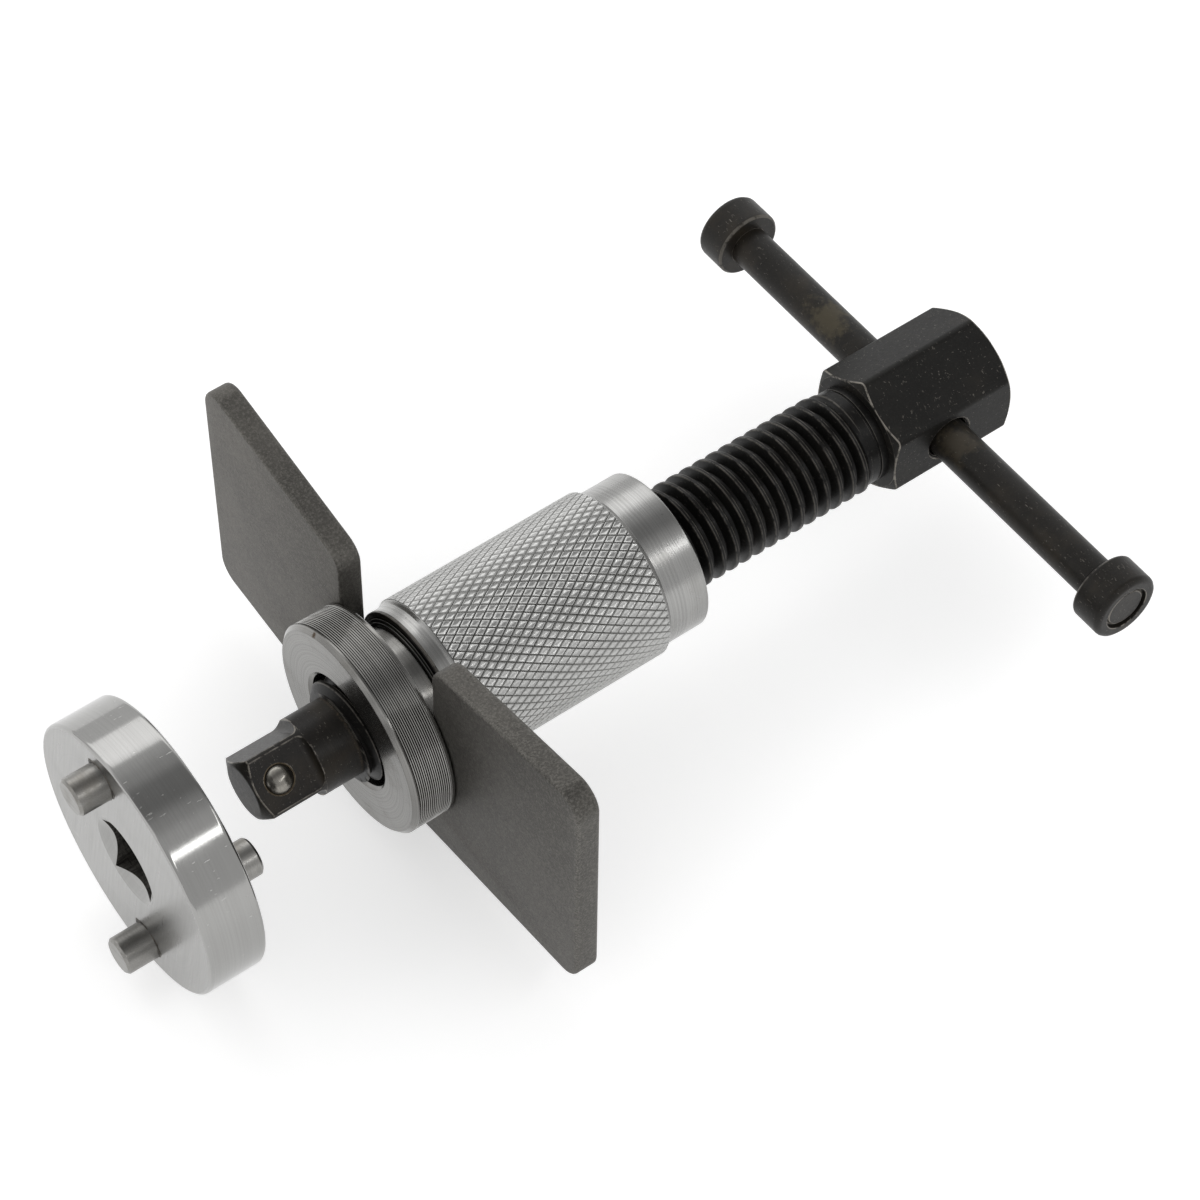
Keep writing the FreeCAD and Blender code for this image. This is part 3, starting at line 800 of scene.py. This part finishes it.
def thread_rule(along, turn, size):
    """Crests that climb one pitch in each turn, cut off square at both ends."""
    steps = along * float(thread_columns - 1) / float(columns_per_turn) + first_column
    free = size["Start"] + (steps + turn) * size["Pitch"]
    x = free.math("MAXIMUM", size["Start"]).math("MINIMUM", size["End"])
    apart = ((steps - (crest_phase - 0.5)).math("FRACT") - 0.5).math("ABSOLUTE") * 2.0
    root = x.fade(size["End"] - 3.0, size["End"] - 0.4, size["Root radius"], size["Neck radius"])
    crest = x.fade(size["End"] - 0.9, size["End"], size["Crest radius"], size["Neck radius"])
    flank = (apart - crest_share).math("DIVIDE", flank_share, clamp=True)
    chamfer = x - size["Start"] + first_crest_radius
    profile = (crest - (crest - root) * flank).math("MINIMUM", chamfer)
    inside = free.math("GREATER_THAN", size["Start"]) * free.math("LESS_THAN", size["End"])
    front_half = x.math("LESS_THAN", (size["Start"] + size["End"]) * 0.5)
    ends = front_half * (size["Root radius"] - size["Neck radius"]) + size["Neck radius"]
    closed = along.math("GREATER_THAN", 1e-6) * along.math("LESS_THAN", 1 - 1e-6)
    return x, (profile * inside + ends * (1.0 - inside)) * closed


thread = grid_by_rule("screw_thread", thread_columns, 97, thread_rule, {
    "Start": shoulder_at, "End": thread_end, "Pitch": thread_pitch,
    "Crest radius": thread_radius, "Root radius": thread_root, "Neck radius": neck_radius}, oxide_thread)
finish_mesh("screw_thread", thread, oxide_thread, "spindle", ["spindle"], sharp=28)

groove_floor = neck_radius - 0.25
neck = turned("screw_neck", [
    (neck_front, 0, 0), (neck_front, neck_radius, 0), (neck_groove, neck_radius, 0.06),
    (neck_groove + 0.06, groove_floor, 0.05), (neck_groove + 0.38, groove_floor, 0.05),
    (neck_groove + 0.44, neck_radius, 0.06), (neck_rear, neck_radius, 0), (neck_rear, 0, 0)])
finish_mesh("screw_neck", neck, oxide_thread, "spindle", ["spindle"])


# Head with the bar's cross hole
head_chamfer_slope = 1.732
head_end_radius = 9.56
head_corner = 18.0
head_corner_loss = 0.018


def head_radius(x, angles):
    """A hexagon with turned corners, chamfered at both ends."""
    hexagon = hexagon_half / np.cos(from_nearest(angles, 6, 0.0))
    chamfer = head_end_radius + min(x - head_front, head_rear - x) * head_chamfer_slope
    return soft_least(hexagon, head_corner_radius, chamfer, sharpness=head_corner) + head_corner_loss


chamfered = np.linspace(0, 1.4, 15)
stations = np.concatenate([
    head_front + chamfered, np.linspace(head_front + 1.7, head_rear - 1.7, 60),
    head_rear - chamfered[::-1]])
head = polar_form("hexagon_head", stations, 360, head_radius)
hole_reach = 10.9
sink_start = hole_reach - (cross_hole_mouth - cross_hole_radius)
cross_hole = turned("cross_hole", [
    (-hole_reach, 0, 0), (-hole_reach, cross_hole_mouth, 0), (-sink_start, cross_hole_radius, 0),
    (sink_start, cross_hole_radius, 0), (hole_reach, cross_hole_mouth, 0), (hole_reach, 0, 0)], 128)
to_bar = Matrix.Translation(Vector((cross_hole_at, 0, 0)) * MM) @ Matrix.Rotation(TURN / 4, 4, "Z")
head = pieces_cut("hexagon_head", head, [placed(cross_hole, to_bar)])
finish_mesh("hexagon_head", head, oxide_head, "spindle", ["spindle"])

# T-bar and its knobs
bar_low = -50.65
bar_high = 46.35
bar = turned("sliding_bar", [
    (bar_low, 0, 0), (bar_low, bar_radius, 0.3), (bar_high, bar_radius, 0.3), (bar_high, 0, 0)])
finish_mesh("sliding_bar", placed(bar, to_bar), oxide_bar, "handle", ["t_bar"])
knob_bore = bar_radius - 0.02
knob_inner_end = -5.5
knob_outer_end = 0.3
recess_floor = -0.5
for side, end, name in ((1, bar_high, "left"), (-1, bar_low, "right")):
    cap = turned("bar_knob", [
        (knob_inner_end, knob_bore, 0), (knob_inner_end, knob_radius, 0.5),
        (knob_outer_end, knob_radius, 0.9), (knob_outer_end, knob_recess_radius, 0.12),
        (recess_floor, knob_recess_radius, 0.1), (recess_floor, knob_bore, 0)])
    to_end = Matrix.Translation(Vector((cross_hole_at, end, 0)) * MM)
    cap = placed(cap, to_end @ Matrix.Rotation(side * TURN / 4, 4, "Z"))
    finish_mesh("bar_knob_" + name, cap, oxide_bar, "handle", ["bar_cap_" + name])

# Collar: the ring, its hub and the tail that turns in the nut
rib_floor = ring_radius - 0.24
ribs_front = ring_front + 1.1
ribs_rear = ring_rear - 0.75
snap_groove_floor = 9.7
bore_step = 26.05
ring_chamfer = 0.7
bore_chamfer = 0.5
collar = turned("collar_body", [
    (ring_front, ring_bore + bore_chamfer, 0.1), (ring_front, ring_radius - ring_chamfer, 0.12),
    (ring_front + ring_chamfer, ring_radius, 0.1), (ribs_front - 0.1, ring_radius, 0.05),
    (ribs_front, rib_floor, 0), (ribs_rear, rib_floor, 0), (ribs_rear + 0.1, ring_radius, 0.05),
    (ring_rear, ring_radius, 0.25), (ring_rear, hub_radius, 0.1), (hub_end, hub_radius, 0.12),
    (hub_end, tail_radius, 0), (snap_groove_front, tail_radius, 0),
    (snap_groove_front, snap_groove_floor, 0), (snap_groove_rear, snap_groove_floor, 0),
    (snap_groove_rear, tail_radius, 0), (tail_end, tail_radius, 0.4),
    (tail_end, tail_bore, 0), (bore_step, tail_bore, 0), (bore_step, ring_bore, 0),
    (ring_front + bore_chamfer, ring_bore, 0)], 256)
finish_mesh("collar_body", collar, ring_steel, "collar", ["collar"])


least_rib = 0.9985


def rings_along(name, values, count, material, seed):
    """Thin rounded ribs round the X axis, each a little different in height, with values in metres."""
    tree, size, identifiers = named_tree(name, values)
    circle = add_node(tree, "GeometryNodeCurvePrimitiveCircle",
                      {"Resolution": 256, "Radius": size["Middle radius"]}, mode="RADIUS")
    section = add_node(tree, "GeometryNodeCurvePrimitiveCircle",
                       {"Resolution": 8, "Radius": 1.0}, mode="RADIUS")
    flattened = add_node(tree, "ShaderNodeCombineXYZ", {
        0: size["Half height"], 1: size["Half width"], 2: 1.0})
    section = add_node(tree, "GeometryNodeTransform", {"Geometry": section, "Scale": flattened})
    rib = add_node(tree, "GeometryNodeCurveToMesh", {"Curve": circle, "Profile Curve": section})
    upright = add_node(tree, "GeometryNodeTransform", {"Geometry": rib, "Rotation": (0.0, TURN / 4, 0.0)})
    first = add_node(tree, "ShaderNodeCombineXYZ", {0: size["Start"]})
    apart = add_node(tree, "ShaderNodeCombineXYZ", {0: size["Step"]})
    line = add_node(tree, "GeometryNodeMeshLine", {
        "Count": count, "Start Location": first, "Offset": apart})
    unlike = add_node(tree, "FunctionNodeRandomValue", {2: least_rib, 3: 1.0, "Seed": seed},
                      data_type="FLOAT")
    grown = Wire(tree, unlike.outputs[1])
    scale = add_node(tree, "ShaderNodeCombineXYZ", {0: 1.0, 1: grown, 2: grown})
    copies = add_node(tree, "GeometryNodeInstanceOnPoints", {
        "Points": line, "Instance": upright, "Scale": scale})
    ending_in(tree, copies, material)
    return mesh_from_tree(name, tree, identifiers, values)


rib_step = 0.34
rib_height = 0.2
rib_half_width = 0.165
rib_seed = 4
rib_count = int((ribs_rear - ribs_front + 0.1) / rib_step)
ribs = rings_along("collar_ribs", {
    "Middle radius": (ring_radius - rib_height) * MM, "Half height": rib_height * MM,
    "Half width": rib_half_width * MM, "Step": rib_step * MM,
    "Start": (ribs_front + rib_step / 2) * MM}, rib_count, rib_steel, rib_seed)
finish_mesh("collar_ribs", ribs, rib_steel, "collar")

# Thrust washer, shown as its two thin edges with a gap between them
washer_front_edge = washer_radius - 0.5
washer_gap_end = washer_split + 0.05
washer = turned("washer_ring", [
    (washer_front, nut_bore, 0), (washer_front, washer_front_edge, 0.05),
    (washer_split, washer_front_edge, 0.05), (washer_split, hub_radius, 0), (washer_gap_end, hub_radius, 0),
    (washer_gap_end, washer_radius, 0.05), (washer_rear, washer_radius, 0.05), (washer_rear, nut_bore, 0)])
finish_mesh("washer_ring", washer, washer_steel, "washer", ["thrust_washer"])

# Grip: the nut with its flange, and the knurled sleeve pressed over it
nut_groove_radius = 11.21
nut = turned("flanged_nut", [
    (nut_front, nut_bore, 0.1), (nut_front, nut_flange_radius, 0.1), (sleeve_front, nut_flange_radius, 0),
    (sleeve_front, nut_body_radius, 0), (nut_rear, nut_body_radius, 0), (nut_rear, nut_thread_bore, 0),
    (nut_thread_front, nut_thread_bore, 0), (nut_thread_front, nut_bore, 0),
    (snap_groove_rear, nut_bore, 0), (snap_groove_rear, nut_groove_radius, 0),
    (snap_groove_front, nut_groove_radius, 0), (snap_groove_front, nut_bore, 0)])
finish_mesh("flanged_nut", nut, oxide_nut, "grip", ["drive_nut"])

sleeve_bore = 8.85
sleeve_step = nut_rear + 0.1
band_chamfer = 0.35
grip = turned("grip_shell", [
    (sleeve_front, nut_body_radius, 0), (sleeve_front, nut_flange_radius, 0.1),
    (nose_end, nut_flange_radius, 0.1), (nose_end + 0.775, nut_flange_radius + 0.15, 0.3),
    (knurl_start, knurl_radius - 0.08, 0.08), (knurl_start + 0.06, knurl_floor, 0),
    (knurl_end - 0.06, knurl_floor, 0), (knurl_end, knurl_radius - 0.1, 0.06),
    (knurl_end + 0.8, band_radius, 0.1), (sleeve_rear, band_radius, 0.3),
    (sleeve_rear, sleeve_bore + band_chamfer, 0.1), (sleeve_rear - band_chamfer, sleeve_bore, 0),
    (sleeve_step, sleeve_bore, 0), (sleeve_step, nut_body_radius, 0)], 256)
finish_mesh("grip_shell", grip, band_aluminium, "grip", ["grip_sleeve"])

knurl_columns = 120
knurl_period = 2.367


def diamonds_round(name, values, rows, material):
    """Flat-topped diamonds in staggered columns round the X axis, each closed and sunk at its foot."""
    tree, size, identifiers = named_tree(name, values)
    rings = (("Foot", 0.985), ("Shoulder", 0.8), ("Top", 0.64), ("Dimple", 0.3))
    parts = []
    for (low, low_share), (high, high_share) in zip(rings, rings[1:]):
        depth = size[high + " height"] - size[low + " height"]
        wall = add_node(tree, "GeometryNodeMeshCone", {
            "Vertices": 4, "Side Segments": 1, "Radius Top": high_share,
            "Radius Bottom": low_share, "Depth": depth}, fill_type="NONE")
        lifted = add_node(tree, "ShaderNodeCombineXYZ", {2: size[low + " height"]})
        moved = add_node(tree, "GeometryNodeTransform", {"Geometry": wall, "Translation": lifted})
        parts.append(moved)
    for ring, share in (rings[0], rings[-1]):
        flat = add_node(tree, "GeometryNodeMeshCircle", {"Vertices": 4, "Radius": share},
                        fill_type="NGON")
        lifted = add_node(tree, "ShaderNodeCombineXYZ", {2: size[ring + " height"]})
        moved = add_node(tree, "GeometryNodeTransform", {"Geometry": flat, "Translation": lifted})
        parts.append(moved)
    together = tree.nodes.new("GeometryNodeJoinGeometry")
    for part in parts:
        tree.links.new(part.outputs[0], together.inputs[0])
    shaped = add_node(tree, "ShaderNodeCombineXYZ", {
        0: size["Half length"], 1: size["Half width"], 2: 1.0})
    pad = add_node(tree, "GeometryNodeTransform", {"Geometry": together, "Scale": shaped})
    pad = add_node(tree, "GeometryNodeMergeByDistance", {"Geometry": pad, "Distance": 1e-7})
    line = add_node(tree, "GeometryNodeMeshLine", {"Count": knurl_columns * rows})
    index = Wire(tree, tree.nodes.new("GeometryNodeInputIndex").outputs[0])
    column = index.math("MODULO", float(knurl_columns))
    row = (index / float(knurl_columns)).math("FLOOR")
    angle = column * (TURN / knurl_columns)
    x = size["Start"] + (row + column.math("MODULO", 2.0) * 0.5) * size["Half length"] * 2.0
    place = add_node(tree, "ShaderNodeCombineXYZ", {
        0: x, 1: size["Radius"] * angle.math("COSINE"), 2: size["Radius"] * angle.math("SINE")})
    spread = add_node(tree, "GeometryNodeSetPosition", {"Geometry": line, "Position": place})
    leaning = add_node(tree, "ShaderNodeCombineXYZ", {0: angle - TURN / 4})
    facing = add_node(tree, "FunctionNodeEulerToRotation", {0: leaning})
    copies = add_node(tree, "GeometryNodeInstanceOnPoints", {
        "Points": spread, "Instance": pad, "Rotation": facing})
    ending_in(tree, copies, material)
    return mesh_from_tree(name, tree, identifiers, values)


def cut_square(mesh, low, high):
    """Cuts a mesh off square at two stations along X and closes it there."""
    form = bmesh.new()
    form.from_mesh(mesh)
    bmesh.ops.remove_doubles(form, verts=form.verts, dist=1e-7)
    for station, way in ((low, -1), (high, 1)):
        everything = form.verts[:] + form.edges[:] + form.faces[:]
        cut = bmesh.ops.bisect_plane(form, geom=everything, clear_outer=True,
                                     plane_co=(station * MM, 0, 0), plane_no=(way, 0, 0))
        rim = [e for e in cut["geom_cut"] if isinstance(e, bmesh.types.BMEdge)]
        bmesh.ops.holes_fill(form, edges=rim, sides=12)
    form.to_mesh(mesh)
    form.free()
    return mesh


knurl_margin = 0.04
knurl_rows = int((knurl_end - knurl_start) / knurl_period) + 2
knurl = diamonds_round("grip_knurl", {
    "Start": knurl_start * MM, "Radius": knurl_radius * MM, "Half length": knurl_period / 2 * MM,
    "Half width": math.pi * knurl_radius / (knurl_columns / 2) * MM, "Foot height": -0.3 * MM,
    "Shoulder height": -0.05 * MM, "Top height": 0.0, "Dimple height": -0.07 * MM},
    knurl_rows, knurl_metal)
knurl = cut_square(knurl, knurl_start + knurl_margin, knurl_end - knurl_margin)
finish_mesh("grip_knurl", knurl, knurl_metal, "grip", ["grip_sleeve"], sharp=20)


plate_tip_top = 30.1
plate_slot_top = 23.1
plate_tip_foot = -15.5
plate_foot = -21.7
plate_corner = 3.8
slot_corner = 3.6
plate_rim_easing = 0.55
plate_rim_angle = 60
plate_aside = -0.3


def butterfly_plate():
    """The slotted plate, with its rims eased, turned a little on the hub."""
    half, slot = plate_half_width, plate_slot_half
    seat = [(slot * math.cos(a), slot * math.sin(a), 0) for a in np.linspace(0, -math.pi, 49)]
    corners = [
        (slot, plate_slot_top, slot_corner), (half, plate_tip_top, plate_corner),
        (half, plate_tip_foot, plate_corner), (0, plate_foot, 0), (-half, plate_tip_foot, plate_corner),
        (-half, plate_tip_top, plate_corner), (-slot, plate_slot_top, slot_corner)] + seat[::-1]
    outline = eased(corners, 10)
    count = len(outline)
    points = [(x, y, z) for x in (plate_front, plate_front + plate_thickness) for y, z in outline]
    walls = [(i, (i + 1) % count, (i + 1) % count + count, i + count) for i in range(count)]
    caps = [tuple(range(count)), tuple(range(2 * count - 1, count - 1, -1))]
    plate = mesh_of("butterfly_plate", points, caps + walls)
    plate = pieces_cut("butterfly_plate", plate, [], plate_rim_easing, plate_rim_angle)
    aside = Matrix.Translation(Vector((0, plate_aside, 0)) * MM)
    return placed(plate, aside @ Matrix.Rotation(plate_turn, 4, "X"))


finish_mesh("butterfly_plate", butterfly_plate(), plate_steel, "plate", ["reaction_plate"],
            sharp=40)

# Adaptor: the disc with its countersunk square hole, then the pins
disc_rim_easing = 0.6
disc = turned("adaptor_body", [
    (adaptor_front, 0, 0), (adaptor_front, adaptor_radius, disc_rim_easing),
    (adaptor_rear, adaptor_radius, disc_rim_easing), (adaptor_rear, 0, 0)], 320)
hole_corner = square_hole_half * math.sqrt(2)
square = turned("square_hole", [
    (adaptor_front - 1, 0, 0), (adaptor_front - 1, hole_corner, 0),
    (adaptor_rear + 1, hole_corner, 0), (adaptor_rear + 1, 0, 0)], 4)
square = placed(square, Matrix.Rotation(front_pin_turn + TURN / 8, 4, "X"))
sink_depth = 1.35
sink_above = 0.6
sink_above_radius = 8.1
sinks = []
for face, inward in ((adaptor_front, 1), (adaptor_rear, -1)):
    above, below = face - inward * sink_above, face + inward * sink_depth
    sinks.append(turned("sink", [
        (above, 0, 0), (above, sink_above_radius, 0), (below, square_hole_half, 0), (below, 0, 0)], 160))
disc = pieces_cut("adaptor_body", disc, [square, *sinks])
disc.materials.clear()
disc.materials.append(disc_steel)
disc.materials.append(hole_steel)
hole_wall_reach = 7.2
for face in disc.polygons:
    from_middle = math.hypot(face.center.y, face.center.z)
    face.material_index = int(from_middle < hole_wall_reach * MM and abs(face.normal.x) < 0.1)
finish_mesh("adaptor_body", disc, disc_steel, "adaptor", ["adaptor_disc"], sharp=25)


burr_width = 0.28
burr_slope = 1.6


def burr_radius(x, angles):
    """Metal pushed up round a pressed pin, uneven all the way round."""
    uneven = 0.2 * np.sin(3 * angles + 0.7) + 0.12 * np.sin(7 * angles + 2.1) + 0.08 * np.sin(13 * angles)
    return pin_radius + burr_width + uneven - max(x, 0.0) * burr_slope


pin_shank = 5.0
for name, side, circle, turn in (
        ("front_upper", -1, front_pin_circle, front_pin_turn),
        ("front_lower", -1, front_pin_circle, front_pin_turn + TURN / 2),
        ("rear_left", 1, rear_pin_circle, front_pin_turn - TURN / 4),
        ("rear_right", 1, rear_pin_circle, front_pin_turn + TURN / 4)):
    face = adaptor_front if side < 0 else adaptor_rear
    centre = Matrix.Translation(Vector((face, circle * math.cos(turn), circle * math.sin(turn))) * MM)
    outward = centre @ (Matrix.Rotation(math.pi, 4, "Z") if side < 0 else Matrix.Identity(4))
    pin = turned("pin_" + name, [
        (-pin_shank, 0, 0), (-pin_shank, pin_radius, 0), (pin_reach - 0.4, pin_radius, 0.1),
        (pin_reach, pin_radius - 0.4, 0.1), (pin_reach, 0, 0)], 96)
    finish_mesh("pin_" + name, placed(pin, outward), pin_steel, "adaptor", ["adaptor_pin_" + name])
    burr = polar_form("burr_" + name, (-0.1, 0.0, 0.12), 96, burr_radius)
    finish_mesh("burr_" + name, placed(burr, outward), burr_steel, "adaptor")

# Plain finishes on the hidden solids
for node in ("snap_ring", "detent_spring"):
    solid = frame["nodes"][node].data
    solid.materials.clear()
    solid.materials.append(washer_steel)

# Camera, as fitted to the photograph
camera = bpy.data.cameras.new("camera")
camera.lens = 118.815
camera.sensor_width = 36.0
camera.clip_start = 0.05
camera.clip_end = 20.0
eye = bpy.data.objects.new("camera", camera)
camera_at = (-0.151604, -0.294138, 0.468586)
camera_right = Vector((0.8034, -0.5955, -0.0044)).normalized()
camera_up = Vector((0.4737, 0.6346, 0.6106)).normalized()
camera_ahead = Vector((0.3608, 0.4926, -0.7919)).normalized()
facing = Matrix((camera_right, camera_up, -camera_ahead)).transposed().to_4x4()
eye.matrix_world = Matrix.Translation(camera_at) @ facing
bpy.context.scene.collection.objects.link(eye)
bpy.context.scene.camera = eye

# Floor of matt white paper that the camera and the polished metal see as white
floor_mesh = bpy.data.meshes.new("floor")
floor_reach = 3.0
floor_level = cad_low.z - 0.0001
floor_corners = [
    (x * floor_reach, y * floor_reach, floor_level) for x, y in ((-1, -1), (1, -1), (1, 1), (-1, 1))]
floor_mesh.from_pydata(floor_corners, [], [(0, 1, 2, 3)])
floor = bpy.data.objects.new("floor", floor_mesh)
bpy.context.scene.collection.objects.link(floor)
floor_glow = 0.52
paper = bpy.data.materials.new("white_paper")
paper.use_nodes = True
tree = paper.node_tree
tree.nodes.clear()
paths = tree.nodes.new("ShaderNodeLightPath")
seen = Wire(tree, paths.outputs["Is Camera Ray"])
for kind in ("Is Glossy Ray", "Is Transmission Ray"):
    seen = seen.math("MAXIMUM", Wire(tree, paths.outputs[kind]))
matt = add_node(tree, "ShaderNodeBsdfDiffuse", {"Color": (0.78, 0.78, 0.78, 1.0)})
glow = add_node(tree, "ShaderNodeEmission", {
    "Color": (1.0, 1.0, 1.0, 1.0), "Strength": seen * floor_glow})
both = add_node(tree, "ShaderNodeAddShader", {0: matt, 1: glow})
out = tree.nodes.new("ShaderNodeOutputMaterial")
tree.links.new(both.outputs[0], out.inputs[0])
floor_mesh.materials.append(paper)

# World: plain studio walls round the screw's axis
world = bpy.data.worlds.new("studio")
bpy.context.scene.world = world
world.use_nodes = True
tree = world.node_tree
background = next(n for n in tree.nodes if n.type == "BACKGROUND")
direction = Wire(tree, tree.nodes.new("ShaderNodeTexCoord").outputs["Generated"])
parts = add_node(tree, "ShaderNodeSeparateXYZ", {0: direction})
over = Wire(tree, parts.outputs[2]).math("ARCTAN2", Wire(tree, parts.outputs[1])) / math.pi
# Each wall's place in degrees over the X axis from the +Y side, and its strength
walls = (
    (0, 0.85), (20, 0.9), (32, 1.1), (48, 1.2), (59, 0.7), (72, 0.52), (84, 0.3), (98, 0.28), (112, 0.5),
    (124, 0.7), (179, 0.74))
full_strength = 2.0
ramp = tree.nodes.new("ShaderNodeValToRGB")
plug(tree, over, ramp.inputs[0])
ramp.color_ramp.interpolation = "EASE"
while len(ramp.color_ramp.elements) < len(walls):
    ramp.color_ramp.elements.new(0.5)
for stop, (degrees, strength) in zip(ramp.color_ramp.elements, walls):
    stop.position = degrees / 180
# A moved stop may change its place in the ramp, so the colours follow once all are placed
for stop, (degrees, strength) in zip(ramp.color_ramp.elements, walls):
    stop.color = (*(strength / full_strength,) * 3, 1.0)
plug(tree, Wire(tree, ramp.outputs[0]) * full_strength, background.inputs["Strength"])
background.inputs["Color"].default_value = (1.0, 1.0, 1.0, 1.0)


tool_middle = Vector((0.05, 0.0, 0.0))


def soft_box(name, place, size, power):
    """A rectangular lamp that faces the middle of the tool, with its place and size in metres."""
    lamp = bpy.data.lights.new(name, "AREA")
    lamp.shape = "RECTANGLE"
    lamp.size, lamp.size_y = size
    lamp.energy = power
    box = bpy.data.objects.new(name, lamp)
    aimed = (tool_middle - Vector(place)).to_track_quat("-Z", "Y").to_matrix().to_4x4()
    box.matrix_world = Matrix.Translation(place) @ aimed
    bpy.context.scene.collection.objects.link(box)


soft_box("left_soft_box", (0.35, 1.0, 0.85), (1.6, 0.7), 2.6)
soft_box("right_strip", (0.4, -0.72, 0.74), (1.3, 0.1), 1.5)
soft_box("front_soft_box", (-1.2, -0.1, 0.7), (0.9, 0.9), 1.6)

bpy.context.scene.view_settings.view_transform = "Standard"
